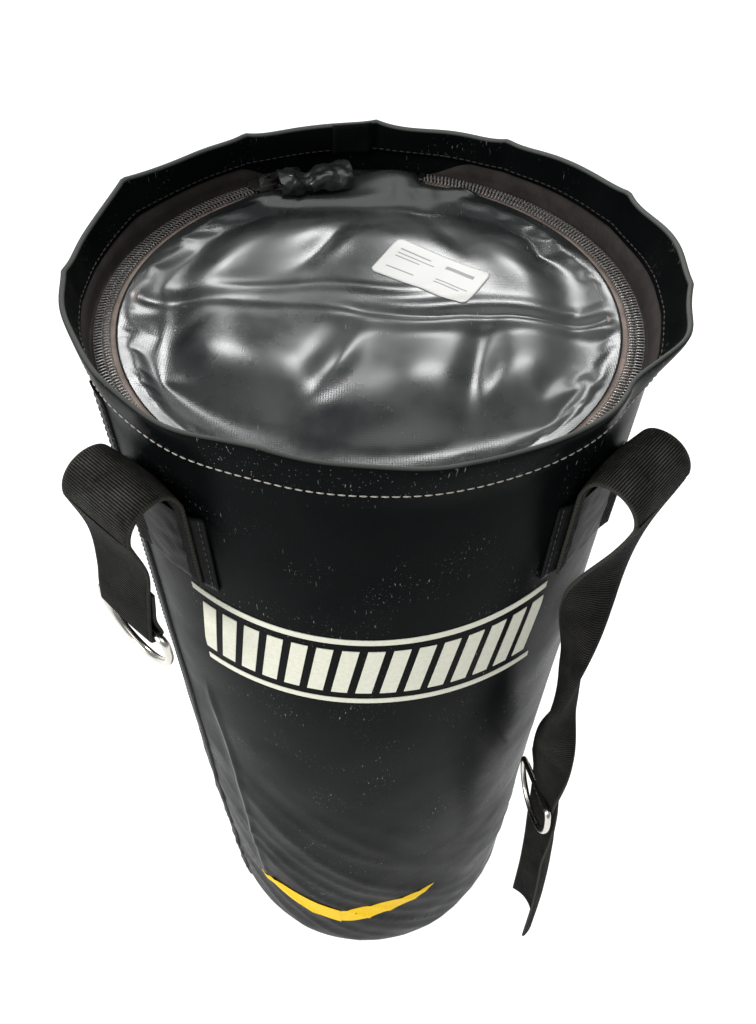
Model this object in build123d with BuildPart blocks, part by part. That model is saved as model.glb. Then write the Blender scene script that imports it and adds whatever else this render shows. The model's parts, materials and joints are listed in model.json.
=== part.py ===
"""Hanging punch bag with a zipped soft lid, a rim collar and four webbing straps with D-rings.

Millimetres, +Z up, origin at the centre of the base, the printed side facing -Y.
Azimuths are degrees about +Z, counted from +X.
"""
from build123d import *
from math import asin, cos, degrees, radians, sin, tan
import os

os.makedirs("parts", exist_ok=True)

# ---------------------------------------------------------------- driving dimensions
bag_diameter = 304.0      # outside of the vinyl wall
bag_height = 760.0        # floor to the folded rim
vinyl = 1.2               # coated sheet of the wall, hem, lid and patches
base_thickness = 2.0      # heavier sheet of the bottom disc
base_round = 35.0         # how far the filled wall rounds under
seat_gap = 0.3            # between curved faces that rest on one another
hem_depth = 20.0          # folded facing inside the rim
rim_lap_width = 26.0      # where the hem's ends overlap
rim_lap_azimuth = 95.0
seam_lap_width = 14.0     # vertical lap seam of the wall sheet
seam_lap_azimuth = -148.0
foam_thickness = 10.0
fill_drop = 44.0          # rim down to the top of the fibre

zip_drop = 33.8           # rim down to the upper face of the zip tapes
tape_thickness = 0.8
coil_width = 4.2          # one side of the chain
outer_tape_margin = 2.7   # flat tape between the coil and the wall
inner_tape_margin = 9.2   # tape between the coil and its edge under the lid
coil_height = 3.0
coil_corner = 1.2
coil_gap = 1.2            # between the two coil beads, where the slider's blade runs
zip_start_azimuth = 112.5
zip_end_azimuth = 436.0   # 76 degrees, after the turn round the front
stop_length = 3.0
lid_overlap = 7.0         # lid cloth sewn over the inner tape
hinge_fold_y = 118.0      # straight fold where the lid stays joined to the wall
crease_angle = -4.4       # direction of the fold across the lid
crease_y = -2.85          # where that fold crosses the Y axis
crease_gap = 0.3

slider_azimuth = 119.0
slider_length = 18.0
slider_corner = 4.0
slider_plate = 1.2
slider_clearance = 0.3
blade_thickness = 0.6
blade_length = 6.0
flange_clearance = 0.45
flange_thickness = 0.75
lug_width = 3.0
lug_length = 5.0
lug_height = 4.2
pin_radius = 0.8
pin_clearance = 0.2
puller_leg = 1.1
puller_head = 6.0         # hinge pin to the start of the flat tab
puller_tab_length = 20.0
puller_tab_width = 7.0
puller_thickness = 1.4

tab_length = 34.0         # loose vinyl tab over the start of the zip
tab_width = 15.0
tab_height = 5.0
tab_azimuth = 106.0
tab_radius = 129.0

label_length = 61.0
label_width = 34.0
label_thickness = 0.2
label_corner = 4.0
label_x = 34.3
label_y = 30.5
label_angle = -31.0

strap_azimuths = {"front_left": -132.0, "front_right": -42.0, "rear_right": 48.0, "rear_left": 138.0}
webbing_width = 50.0
webbing_thickness = 2.0
bend_radius = 16.0        # to the middle of the webbing
bend_drop = 52.0          # rim down to the centre of the bend
root_length = 60.0        # webbing sewn flat under the patch
patch_width = 62.0
patch_height = 58.0
patch_drop = 58.0         # rim down to the patch's upper edge
pocket_clearance = 0.3
strap_hang = 76.0         # bend centre down to the ring bar of a short strap
gathered_width = 42.0     # webbing drawn together at the ring
eye_clearance = 0.35

ring_inner_width = 51.0
ring_wire_radius = 2.25
ring_leg = 8.0
ring_corner = 4.0

long_waist_drop = 195.0   # rim down to where the long strap is bunched narrowest
long_waist_azimuth = -48.0
long_waist_standoff = 28.0    # out from the wall
long_waist_width = 24.0
long_waist_thickness = 8.0
long_bar_drop = 362.0     # rim down to the long strap's ring bar
long_bar_azimuth = -46.6
long_bar_standoff = 31.0
long_bar_heading = -80.5  # which way the twisted webbing's width points
long_bar_rise = 20.0      # degrees that the outer end of the bar stands up
tail_mid_drop = 418.0
tail_mid_standoff = 51.0
tail_end_drop = 602.0
tail_end_standoff = 67.0
tail_azimuth = -46.0
tail_mid_width = 40.0
tail_end_width = 36.0

# ---------------------------------------------------------------- places worked out from them
bag_radius = bag_diameter / 2
wall_inner = bag_radius - vinyl
against_wall = wall_inner - seat_gap
tape_top = bag_height - zip_drop
tape_bottom = tape_top - tape_thickness
outer_coil_inner = against_wall - coil_width - outer_tape_margin
chain_radius = outer_coil_inner - coil_gap / 2
inner_coil_outer = chain_radius - coil_gap / 2
inner_tape_width = coil_width + inner_tape_margin
inner_tape_inner = inner_coil_outer - inner_tape_width
lid_radius = inner_tape_inner + lid_overlap
lid_top = tape_top + vinyl
coil_top = tape_top + coil_height
hinge_height = coil_top + slider_clearance
fill_top = bag_height - fill_drop
liner_outer = against_wall
liner_inner = liner_outer - foam_thickness
fill_radius = liner_inner - seat_gap
webbing_seat = bag_radius + seat_gap
webbing_mid = webbing_seat + webbing_thickness / 2
bend_centre_radius = webbing_mid + bend_radius
hang_radius = bend_centre_radius + bend_radius
bend_z = bag_height - bend_drop
eye_hole = ring_wire_radius + eye_clearance
eye_radius = eye_hole + webbing_thickness
ring_half = ring_inner_width / 2 + ring_wire_radius


def radial_plane(azimuth):
    """Upright plane through the axis: local x points outwards, local y up."""
    a = radians(azimuth)
    return Plane(origin=(0, 0, 0), x_dir=(cos(a), sin(a), 0), z_dir=(sin(a), -cos(a), 0))


def tangent_plane(azimuth, radius, z):
    """Upright plane facing outwards: local x runs round the bag, local y up."""
    a = radians(azimuth)
    origin = (radius * cos(a), radius * sin(a), z)
    return Plane(origin=origin, x_dir=(-sin(a), cos(a), 0), z_dir=(cos(a), sin(a), 0))


def level_plane(azimuth, radius, z):
    """Flat plane at a place on the chain: local x points outwards, local y round the bag."""
    a = radians(azimuth)
    return Plane(origin=(radius * cos(a), radius * sin(a), z), x_dir=(cos(a), sin(a), 0), z_dir=(0, 0, 1))


def polar(radius, azimuth, z):
    """A point given by its distance from the axis, its azimuth and its height."""
    return Vector(radius * cos(radians(azimuth)), radius * sin(radians(azimuth)), z)


def crease_plane(offset):
    """Upright plane along the lid's fold, facing the rear half."""
    a = radians(crease_angle)
    normal = (-sin(a), cos(a), 0)
    origin = (normal[0] * offset, crease_y + normal[1] * offset, 0)
    return Plane(origin=origin, x_dir=(cos(a), sin(a), 0), z_dir=normal)


def band(label, r_in, r_out, z_low, z_high, az_from, az_to, corner=0.0):
    """One arc about the bag's axis with a rectangular, or rounded, section."""
    with BuildPart() as piece:
        with BuildSketch(radial_plane(az_from)):
            with Locations(((r_in + r_out) / 2, (z_low + z_high) / 2)):
                if corner:
                    RectangleRounded(r_out - r_in, z_high - z_low, corner)
                else:
                    Rectangle(r_out - r_in, z_high - z_low)
        revolve(axis=Axis.Z, revolution_arc=az_to - az_from)
    piece.part.label = label
    return piece


def save(piece):
    """Write one finished piece to its own file."""
    export_step(piece.part, f"parts/{piece.part.label}.step")


def half_angle(width, radius):
    """Half the angle that a width takes up at a radius, in degrees."""
    return degrees(width / radius) / 2


# ---------------------------------------------------------------- shell
with BuildPart() as shell_wall:
    with BuildSketch(Plane.XZ):
        with BuildLine():
            round_centre = (bag_radius - base_round, base_round)
            foot = (round_centre[0], 0)
            outer_turn = (bag_radius, base_round)
            inner_turn = (wall_inner, base_round)
            diagonal = sin(radians(45))
            outer_mid = (round_centre[0] + base_round * diagonal, base_round * (1 - diagonal))
            inner_round = base_round - vinyl
            inner_mid = (round_centre[0] + inner_round * diagonal, base_round - inner_round * diagonal)
            ThreePointArc(foot, outer_mid, outer_turn)
            Line(outer_turn, (bag_radius, bag_height - vinyl))
            Line((bag_radius, bag_height - vinyl), (wall_inner, bag_height - vinyl))
            Line((wall_inner, bag_height - vinyl), inner_turn)
            ThreePointArc(inner_turn, inner_mid, (foot[0], vinyl))
            Line((foot[0], vinyl), foot)
        make_face()
    revolve(axis=Axis.Z)
shell_wall.part.label = "shell_wall"
save(shell_wall)

with BuildPart() as base_panel:
    with BuildSketch():
        Circle(bag_radius - base_round - seat_gap)
    extrude(amount=base_thickness)
base_panel.part.label = "base_panel"
save(base_panel)

with BuildPart() as rim_hem:
    with BuildSketch(Plane.XZ):
        with BuildLine():
            Polyline(
                (bag_radius, bag_height),
                (bag_radius, bag_height - vinyl),
                (against_wall, bag_height - vinyl),
                (against_wall, bag_height - hem_depth),
                (against_wall - vinyl, bag_height - hem_depth),
                (against_wall - vinyl, bag_height),
                close=True,
            )
        make_face()
    revolve(axis=Axis.Z)
rim_hem.part.label = "rim_hem"
save(rim_hem)

lap_outer = against_wall - vinyl - seat_gap
lap_half = half_angle(rim_lap_width, lap_outer)
rim_lap_patch = band(
    "rim_lap_patch", lap_outer - vinyl, lap_outer, bag_height - hem_depth, bag_height,
    rim_lap_azimuth - lap_half, rim_lap_azimuth + lap_half,
)
save(rim_lap_patch)

seam_half = half_angle(seam_lap_width, bag_radius)
side_seam_lap = band(
    "side_seam_lap", webbing_seat, webbing_seat + vinyl, base_round, bag_height - hem_depth,
    seam_lap_azimuth - seam_half, seam_lap_azimuth + seam_half,
)
save(side_seam_lap)

# ---------------------------------------------------------------- stuffing
foam_liner = band("foam_liner", liner_inner, liner_outer, base_round, fill_top, 0, 360)
save(foam_liner)

with BuildPart() as fibre_fill:
    with BuildSketch(Plane.XY.offset(base_thickness + seat_gap)):
        Circle(fill_radius)
    extrude(amount=fill_top - base_thickness - seat_gap)
    fillet(fibre_fill.edges().sort_by(Axis.Z)[0], base_round - vinyl - 2 * seat_gap)
fibre_fill.part.label = "fibre_fill"
save(fibre_fill)

# ---------------------------------------------------------------- zip, fixed side
with BuildPart() as zip_tape_outer:
    with BuildSketch(radial_plane(zip_start_azimuth)):
        with BuildLine():
            Polyline(
                (outer_coil_inner, tape_bottom),
                (against_wall, tape_bottom),
                (against_wall, bag_height - hem_depth - seat_gap),
                (against_wall - tape_thickness, bag_height - hem_depth - seat_gap),
                (against_wall - tape_thickness, tape_top),
                (outer_coil_inner, tape_top),
                close=True,
            )
        make_face()
    revolve(axis=Axis.Z, revolution_arc=zip_end_azimuth - zip_start_azimuth)
zip_tape_outer.part.label = "zip_tape_outer"
save(zip_tape_outer)

zip_coil_outer = band(
    "zip_coil_outer", outer_coil_inner, outer_coil_inner + coil_width, tape_top, coil_top,
    zip_start_azimuth, zip_end_azimuth, coil_corner,
)
save(zip_coil_outer)

# Each stop is clamped over both coils, just past the end of the chain.
for stop_name, stop_from in (
    ("zip_start_stop", zip_start_azimuth - degrees((stop_length + seat_gap) / chain_radius)),
    ("zip_end_stop", zip_end_azimuth + degrees(seat_gap / chain_radius)),
):
    zip_stop = band(
        stop_name, inner_coil_outer - coil_width, outer_coil_inner + coil_width, tape_top, coil_top,
        stop_from, stop_from + degrees(stop_length / chain_radius), coil_corner,
    )
    save(zip_stop)

# ---------------------------------------------------------------- zip, lid side
for half, offset, keep in (("rear", 0.0, Keep.TOP), ("front", -crease_gap, Keep.BOTTOM)):
    with BuildPart() as zip_tape_inner:
        with BuildSketch(radial_plane(zip_start_azimuth)):
            with Locations((inner_coil_outer - inner_tape_width / 2, tape_top - tape_thickness / 2)):
                Rectangle(inner_tape_width, tape_thickness)
        revolve(axis=Axis.Z, revolution_arc=zip_end_azimuth - zip_start_azimuth)
        split(bisect_by=crease_plane(offset), keep=keep)
    zip_tape_inner.part.label = f"zip_tape_inner_{half}"
    save(zip_tape_inner)

    with BuildPart() as zip_coil_inner:
        with BuildSketch(radial_plane(zip_start_azimuth)):
            with Locations((inner_coil_outer - coil_width / 2, tape_top + coil_height / 2)):
                RectangleRounded(coil_width, coil_height, coil_corner)
        revolve(axis=Axis.Z, revolution_arc=zip_end_azimuth - zip_start_azimuth)
        split(bisect_by=crease_plane(offset), keep=keep)
    zip_coil_inner.part.label = f"zip_coil_inner_{half}"
    save(zip_coil_inner)

# ---------------------------------------------------------------- lid
# Between the ends of the zip the lid stays joined to the wall by the gusset.
gusset_start = zip_start_azimuth - degrees((stop_length + 2 * seat_gap) / chain_radius)
gusset_end = zip_end_azimuth - 360 + degrees((stop_length + 2 * seat_gap) / chain_radius)
gusset_left = hinge_fold_y / tan(radians(gusset_start))
gusset_right = hinge_fold_y / tan(radians(gusset_end))
beyond = bag_diameter

with BuildPart() as lid_rear_panel:
    with BuildSketch(Plane.XY.offset(tape_top)):
        Circle(lid_radius)
        with BuildLine():
            Polyline(
                (gusset_right, hinge_fold_y),
                (beyond * cos(radians(gusset_end)), beyond * sin(radians(gusset_end))),
                (beyond * cos(radians(gusset_start)), beyond * sin(radians(gusset_start))),
                (gusset_left, hinge_fold_y),
                close=True,
            )
        make_face(mode=Mode.SUBTRACT)
    extrude(amount=vinyl)
    split(bisect_by=crease_plane(0.0), keep=Keep.TOP)
lid_rear_panel.part.label = "lid_rear_panel"
save(lid_rear_panel)

with BuildPart() as lid_front_panel:
    with BuildSketch(Plane.XY.offset(tape_top)):
        Circle(lid_radius)
    extrude(amount=vinyl)
    split(bisect_by=crease_plane(-crease_gap), keep=Keep.BOTTOM)
lid_front_panel.part.label = "lid_front_panel"
save(lid_front_panel)

with BuildPart() as lid_hinge_gusset:
    with BuildSketch(Plane.XY.offset(tape_top)):
        Circle(against_wall)
        with BuildLine():
            Polyline(
                (gusset_right - seat_gap, hinge_fold_y + seat_gap),
                (beyond * cos(radians(gusset_end)) - seat_gap, beyond * sin(radians(gusset_end))),
                (beyond * cos(radians(gusset_start)) + seat_gap, beyond * sin(radians(gusset_start))),
                (gusset_left + seat_gap, hinge_fold_y + seat_gap),
                close=True,
            )
        make_face(mode=Mode.INTERSECT)
    extrude(amount=vinyl)
lid_hinge_gusset.part.label = "lid_hinge_gusset"
save(lid_hinge_gusset)

with BuildPart() as zip_end_tab:
    with BuildSketch(level_plane(tab_azimuth, tab_radius, lid_top)):
        RectangleRounded(tab_width, tab_length, tab_width / 3)
    extrude(amount=tab_height)
    fillet(zip_end_tab.edges().group_by(Axis.Z)[-1], tab_height / 3)
zip_end_tab.part.label = "zip_end_tab"
save(zip_end_tab)

with BuildPart() as blank_label:
    with BuildSketch(Plane.XY.offset(lid_top)):
        with Locations((label_x, label_y)):
            RectangleRounded(label_length, label_width, label_corner, rotation=label_angle)
    extrude(amount=label_thickness)
blank_label.part.label = "blank_label"
save(blank_label)

# ---------------------------------------------------------------- slider and puller
top_plate_z = coil_top + slider_clearance
bottom_plate_z = tape_bottom - slider_clearance
lug_base = top_plate_z + slider_plate
pin_z = lug_base + lug_height - pin_radius - pin_clearance - puller_thickness / 2
flange_inner = coil_gap / 2 + coil_width + flange_clearance
slider_width = 2 * (flange_inner + flange_thickness)

with BuildPart() as zip_slider:
    with BuildSketch(level_plane(slider_azimuth, chain_radius, top_plate_z)):
        RectangleRounded(slider_width, slider_length, slider_corner)
    extrude(amount=slider_plate)
    with BuildSketch(level_plane(slider_azimuth, chain_radius, bottom_plate_z)):
        RectangleRounded(slider_width, slider_length, slider_corner)
    extrude(amount=-slider_plate)
    with BuildSketch(level_plane(slider_azimuth, chain_radius, bottom_plate_z)):
        Rectangle(blade_thickness, blade_length)
    extrude(amount=top_plate_z - bottom_plate_z)
    with BuildSketch(level_plane(slider_azimuth, chain_radius, top_plate_z)):
        with Locations(
            (flange_inner + flange_thickness / 2, 0),
            (-flange_inner - flange_thickness / 2, 0),
        ):
            Rectangle(flange_thickness, slider_length - 2 * slider_corner)
    extrude(amount=-(coil_height - slider_clearance + seat_gap))
    with BuildSketch(level_plane(slider_azimuth, chain_radius, lug_base)):
        Rectangle(lug_width, lug_length)
    extrude(amount=lug_height)
    lug_side = Plane(
        origin=polar(chain_radius, slider_azimuth, pin_z),
        x_dir=(-sin(radians(slider_azimuth)), cos(radians(slider_azimuth)), 0),
        z_dir=(cos(radians(slider_azimuth)), sin(radians(slider_azimuth)), 0),
    )
    with BuildSketch(lug_side):
        Circle(pin_radius + pin_clearance)
    extrude(amount=lug_width, both=True, mode=Mode.SUBTRACT)
zip_slider.part.label = "zip_slider"
save(zip_slider)

leg_inner = lug_width / 2 + puller_leg
leg_outer = puller_tab_width / 2
with BuildPart() as zip_puller:
    with BuildSketch(lug_side):
        Circle(pin_radius)
    extrude(amount=leg_outer, both=True)
    with BuildSketch(level_plane(slider_azimuth, chain_radius, pin_z - puller_thickness / 2)):
        for side in (-1, 1):
            with Locations((side * (leg_inner + leg_outer) / 2, -(puller_head - pin_radius) / 2)):
                Rectangle(leg_outer - leg_inner, puller_head + pin_radius)
        with Locations((0, -puller_head - puller_tab_length / 2)):
            RectangleRounded(puller_tab_width, puller_tab_length, puller_tab_width / 3)
        with Locations((0, -puller_head - puller_tab_width / 3)):
            Rectangle(puller_tab_width, 2 * puller_tab_width / 3)
    extrude(amount=puller_thickness)
zip_puller.part.label = "zip_puller"
save(zip_puller)


# ---------------------------------------------------------------- straps
def d_ring(label, bar_centre, bar_direction, drop_direction):
    """A welded wire D: a straight bar, two short legs and a round bow."""
    plane = Plane(origin=bar_centre, x_dir=bar_direction, z_dir=bar_direction.cross(drop_direction * -1))
    turn = ring_corner * (1 - sin(radians(45)))
    with BuildPart() as ring:
        with BuildLine(plane) as path:
            Line((ring_corner - ring_half, 0), (ring_half - ring_corner, 0))
            ThreePointArc(
                (ring_half - ring_corner, 0), (ring_half - turn, -turn), (ring_half, -ring_corner)
            )
            Line((ring_half, -ring_corner), (ring_half, -ring_leg))
            ThreePointArc((ring_half, -ring_leg), (0, -ring_leg - ring_half), (-ring_half, -ring_leg))
            Line((-ring_half, -ring_leg), (-ring_half, -ring_corner))
            ThreePointArc(
                (-ring_half, -ring_corner), (turn - ring_half, -turn), (ring_corner - ring_half, 0)
            )
        with BuildSketch(Plane(origin=path.wire() @ 0, z_dir=path.wire() % 0)):
            Circle(ring_wire_radius)
        sweep(path=path.wire())
    ring.part.label = label
    return ring


root_half = half_angle(webbing_width, webbing_mid)
patch_half = half_angle(patch_width, webbing_mid)
pocket_half = half_angle(webbing_width + 2 * pocket_clearance, webbing_mid)

for strap, azimuth in strap_azimuths.items():
    strap_root = band(
        f"strap_root_{strap}", webbing_seat, webbing_seat + webbing_thickness,
        bend_z - root_length, bend_z, azimuth - root_half, azimuth + root_half,
    )
    save(strap_root)

    pocket_depth = webbing_thickness + pocket_clearance
    patch_top = bag_height - patch_drop
    with BuildPart() as strap_patch:
        with BuildSketch(radial_plane(azimuth - patch_half)):
            with Locations((webbing_seat + (pocket_depth + vinyl) / 2, patch_top - patch_height / 2)):
                Rectangle(pocket_depth + vinyl, patch_height)
        revolve(axis=Axis.Z, revolution_arc=2 * patch_half)
        with BuildSketch(radial_plane(azimuth - pocket_half)):
            with Locations((webbing_seat + pocket_depth / 2, bend_z - root_length / 2)):
                Rectangle(pocket_depth, root_length + 2 * pocket_clearance)
        revolve(axis=Axis.Z, revolution_arc=2 * pocket_half, mode=Mode.SUBTRACT)
    strap_patch.part.label = f"strap_patch_{strap}"
    save(strap_patch)

    with BuildPart() as strap_bend:
        with BuildSketch(radial_plane(azimuth)):
            with Locations((bend_centre_radius, bend_z)):
                Circle(bend_radius + webbing_thickness / 2)
                Circle(bend_radius - webbing_thickness / 2, mode=Mode.SUBTRACT)
            with Locations((bend_centre_radius, bend_z - bend_radius)):
                Rectangle(4 * bend_radius, 2 * bend_radius, mode=Mode.SUBTRACT)
        extrude(amount=webbing_width / 2, both=True)
    strap_bend.part.label = f"strap_bend_{strap}"
    save(strap_bend)

    if strap == "front_right":
        continue
    bar_z = bend_z - strap_hang
    with BuildPart() as strap_web:
        with BuildSketch(tangent_plane(azimuth, hang_radius, bend_z)):
            with BuildLine():
                Polyline(
                    (-webbing_width / 2, -seat_gap),
                    (webbing_width / 2, -seat_gap),
                    (gathered_width / 2, -strap_hang / 2),
                    (gathered_width / 2, eye_hole - strap_hang),
                    (-gathered_width / 2, eye_hole - strap_hang),
                    (-gathered_width / 2, -strap_hang / 2),
                    close=True,
                )
            make_face()
        extrude(amount=webbing_thickness / 2, both=True)
        with BuildSketch(radial_plane(azimuth)):
            with Locations((hang_radius, bar_z)):
                Circle(eye_radius)
        extrude(amount=gathered_width / 2, both=True)
        with BuildSketch(radial_plane(azimuth)):
            with Locations((hang_radius, bar_z)):
                Circle(eye_hole)
        extrude(amount=webbing_width, both=True, mode=Mode.SUBTRACT)
    strap_web.part.label = f"strap_web_{strap}"
    save(strap_web)

    round_bag = Vector(-sin(radians(azimuth)), cos(radians(azimuth)), 0)
    ring = d_ring(f"d_ring_{strap}", polar(hang_radius, azimuth, bar_z), round_bag, Vector(0, 0, -1))
    save(ring)

# The long strap is bunched and twisted on its way down to its ring, and its cut end hangs free.
long_azimuth = strap_azimuths["front_right"]
long_top = polar(hang_radius, long_azimuth, bend_z - seat_gap)
long_waist = polar(bag_radius + long_waist_standoff, long_waist_azimuth, bag_height - long_waist_drop)
long_bar = polar(bag_radius + long_bar_standoff, long_bar_azimuth, bag_height - long_bar_drop)
bar_level = Vector(cos(radians(long_bar_heading)), sin(radians(long_bar_heading)), 0)
bar_direction = bar_level * cos(radians(long_bar_rise)) + Vector(0, 0, 1) * sin(radians(long_bar_rise))
bar_normal = Vector(0, 0, 1).cross(bar_level).normalized()
bar_drop = bar_normal.cross(bar_direction).normalized()
if bar_drop.Z > 0:
    bar_drop = bar_drop * -1
top_heading = long_azimuth - 90
waist_heading = (top_heading + long_bar_heading) / 2

with BuildPart() as long_web:
    for place, heading, width, thickness in (
        (long_top, top_heading, webbing_width, webbing_thickness),
        (long_waist, waist_heading, long_waist_width, long_waist_thickness),
    ):
        with BuildSketch(Plane(origin=place, x_dir=(cos(radians(heading)), sin(radians(heading)), 0))):
            Rectangle(width, thickness)
    with BuildSketch(Plane(origin=long_bar, x_dir=bar_direction, z_dir=bar_drop * -1)):
        Rectangle(gathered_width, webbing_thickness)
    loft(ruled=True)
    with BuildSketch(Plane(origin=long_bar, x_dir=bar_drop, z_dir=bar_direction)):
        Circle(eye_radius)
    extrude(amount=gathered_width / 2, both=True)
    with BuildSketch(Plane(origin=long_bar, x_dir=bar_drop, z_dir=bar_direction)):
        Circle(eye_hole)
    extrude(amount=webbing_width, both=True, mode=Mode.SUBTRACT)
long_web.part.label = "strap_web_front_right"
save(long_web)

tail_top = long_bar + bar_normal * (eye_radius + seat_gap + webbing_thickness / 2)
with BuildPart() as long_tail:
    with BuildSketch(Plane(origin=tail_top, x_dir=bar_direction, z_dir=bar_drop * -1)):
        Rectangle(gathered_width, webbing_thickness)
    for drop, standoff, width in (
        (tail_mid_drop, tail_mid_standoff, tail_mid_width),
        (tail_end_drop, tail_end_standoff, tail_end_width),
    ):
        place = polar(bag_radius + standoff, tail_azimuth, bag_height - drop)
        with BuildSketch(Plane(origin=place, x_dir=bar_level)):
            Rectangle(width, webbing_thickness)
    loft(ruled=True)
long_tail.part.label = "strap_tail_front_right"
save(long_tail)

long_ring = d_ring("d_ring_front_right", long_bar, bar_direction, bar_drop)
save(long_ring)

print("chain radius", round(chain_radius, 2), "lid radius", round(lid_radius, 2))
print("hinge height", round(hinge_height, 2), "bend centre", round(bend_centre_radius, 2), round(bend_z, 2))
print("pin height", round(pin_z, 2), "long bar", long_bar, "direction", bar_direction, "drop", bar_drop)
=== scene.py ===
# %% [markdown]
# # A hanging punch bag, piece by piece
#
# The bag is a stuffed tube of coated vinyl. A soft lid is zipped into its collar, and four webbing
# straps with D-rings hang it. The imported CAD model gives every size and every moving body. This script
# makes the cloth, the zip, the stitching and the finishes around it, and never moves a CAD part.

# %% Load the frame
import json
import math

import bmesh
import bpy
from mathutils import Matrix, Vector, noise
from mathutils.bvhtree import BVHTree


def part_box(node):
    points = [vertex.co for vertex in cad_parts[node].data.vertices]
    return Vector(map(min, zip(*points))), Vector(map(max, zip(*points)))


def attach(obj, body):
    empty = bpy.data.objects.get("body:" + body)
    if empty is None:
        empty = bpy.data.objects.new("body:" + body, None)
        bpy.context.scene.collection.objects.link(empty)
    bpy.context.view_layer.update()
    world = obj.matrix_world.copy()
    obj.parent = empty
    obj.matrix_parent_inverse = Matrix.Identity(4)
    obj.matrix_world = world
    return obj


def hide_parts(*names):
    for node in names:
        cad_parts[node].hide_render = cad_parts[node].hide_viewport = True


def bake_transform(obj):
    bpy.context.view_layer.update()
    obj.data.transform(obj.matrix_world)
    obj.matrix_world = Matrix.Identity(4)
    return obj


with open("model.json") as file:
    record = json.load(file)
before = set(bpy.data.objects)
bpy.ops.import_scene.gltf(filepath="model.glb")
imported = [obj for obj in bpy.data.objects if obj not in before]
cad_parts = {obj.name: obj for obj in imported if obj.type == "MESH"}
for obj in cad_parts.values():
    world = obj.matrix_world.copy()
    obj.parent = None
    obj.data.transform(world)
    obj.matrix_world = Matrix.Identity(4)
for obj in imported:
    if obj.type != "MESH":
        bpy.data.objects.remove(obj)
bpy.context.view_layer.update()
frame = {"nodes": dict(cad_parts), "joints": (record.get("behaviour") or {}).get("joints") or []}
joints = {joint["name"]: joint for joint in frame["joints"]}

# %% [markdown]
# Everything is in metres, so a small unit name keeps the sizes readable. The radius, the height and the
# places of the straps come from the frame, so the cloth always fits the part that MuJoCo moves.

# %% Sizes taken from the frame
MM = 0.001
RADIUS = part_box("shell_wall")[1].x
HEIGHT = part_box("rim_hem")[1].z
BASE_ROUND = 35 * MM          # how far the filled wall rounds under
HEM_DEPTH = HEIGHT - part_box("rim_hem")[0].z
VINYL = 1.2 * MM              # thickness of the coated sheet
SEAT = 0.3 * MM               # room between sheets that lie on one another
WEBBING = 2.0 * MM
WEBBING_WIDTH = 50 * MM
TAPE = 0.8 * MM
TAPE_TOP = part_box("zip_coil_outer")[0].z
COIL_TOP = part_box("zip_coil_outer")[1].z
CHAIN_RADIUS = 143 * MM       # middle of the zip's chain
LID_RADIUS = 136 * MM
ZIP_START = math.radians(112.5)
ZIP_END = math.radians(436.0)
STRAPS = ("front_left", "front_right", "rear_right", "rear_left")
print("radius", round(RADIUS, 4), "height", round(HEIGHT, 4))


def ease(low, high, value):
    """0 below low, 1 above high and a smooth step between; low may be the larger one."""
    t = min(max((value - low) / (high - low), 0.0), 1.0)
    return t * t * (3 - 2 * t)


def hump(distance, width):
    """A smooth bump of height 1 that fades over about width."""
    return math.exp(-((distance / width) ** 2))


def polar(radius, azimuth, z):
    """A point from its distance to the bag's axis, its azimuth in radians and its height."""
    return Vector((radius * math.cos(azimuth), radius * math.sin(azimuth), z))


def azimuth_gap(a, b):
    """The signed angle from b to a, between minus pi and pi."""
    return (a - b + math.pi) % (2 * math.pi) - math.pi


# %% [markdown]
# ## One function for the shape of the wall
#
# A stuffed vinyl tube isn't a true cylinder. The free collar above the lid flares and waves, and the
# filled part pushes out in soft slanting folds. The wall, its stitches, laps, patches and prints all
# have to agree, so one function says how far the sheet stands off the plain tube at each place.

# %% The shape of the wall
COLLAR_START = HEIGHT - 31 * MM
LEAN_EAST, LEAN_NORTH, OVAL = 2.9, -4.0, 4.25     # millimetres at the free rim
CREASE_TOP, CREASE_FOOT = math.radians(-133.0), math.radians(-128.0)
CREASE_TOP_Z, CREASE_FOOT_Z = 0.64 * HEIGHT, 0.20 * HEIGHT
LOW_RING = Vector(joints["ring_swing_front_right"]["pos_m"])     # it swings in close to the wall


def rim_push(azimuth):
    """How far the free rim stands outside the plain tube."""
    a = azimuth
    flare = 2.25 + LEAN_EAST * math.cos(a) + LEAN_NORTH * math.sin(a) + OVAL * math.cos(2 * a)
    waves = 0.9 * math.sin(5 * a + 0.6) + 0.8 * math.sin(9 * a + 2.1) + 0.5 * math.sin(17 * a)
    ridge = 2.6 * (1 - abs(math.sin(5.5 * a + 0.9))) ** 3 * (0.35 + 0.65 * ease(-0.5, 0.5, math.sin(a)))
    dent = -8.0 * hump(azimuth_gap(a, math.radians(-38)), 0.13)
    swell = 5.0 * hump(azimuth_gap(a, math.radians(-23)), 0.10)
    return (flare + waves + ridge + dent + swell) * MM


def rim_rise(azimuth):
    """How far the rim's edge stands above or below its even height."""
    a = azimuth
    waves = 1.1 * math.sin(3 * a + 1.0) + 0.9 * math.sin(7 * a + 2.0) + 0.6 * math.sin(12 * a)
    waves += 1.6 * (1 - abs(math.sin(5.5 * a + 0.9))) ** 3
    return (waves - 2.0 * hump(azimuth_gap(a, math.radians(-40)), 0.2)) * MM


def fold_noise(azimuth, z, twist, grain):
    """Noise drawn out along helices of the tube, from 0 to 1."""
    turned = azimuth + twist * z
    place = Vector((math.cos(turned), math.sin(turned), 1.4 * z)) * grain
    return 0.5 + 0.5 * noise.noise(place)


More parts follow.
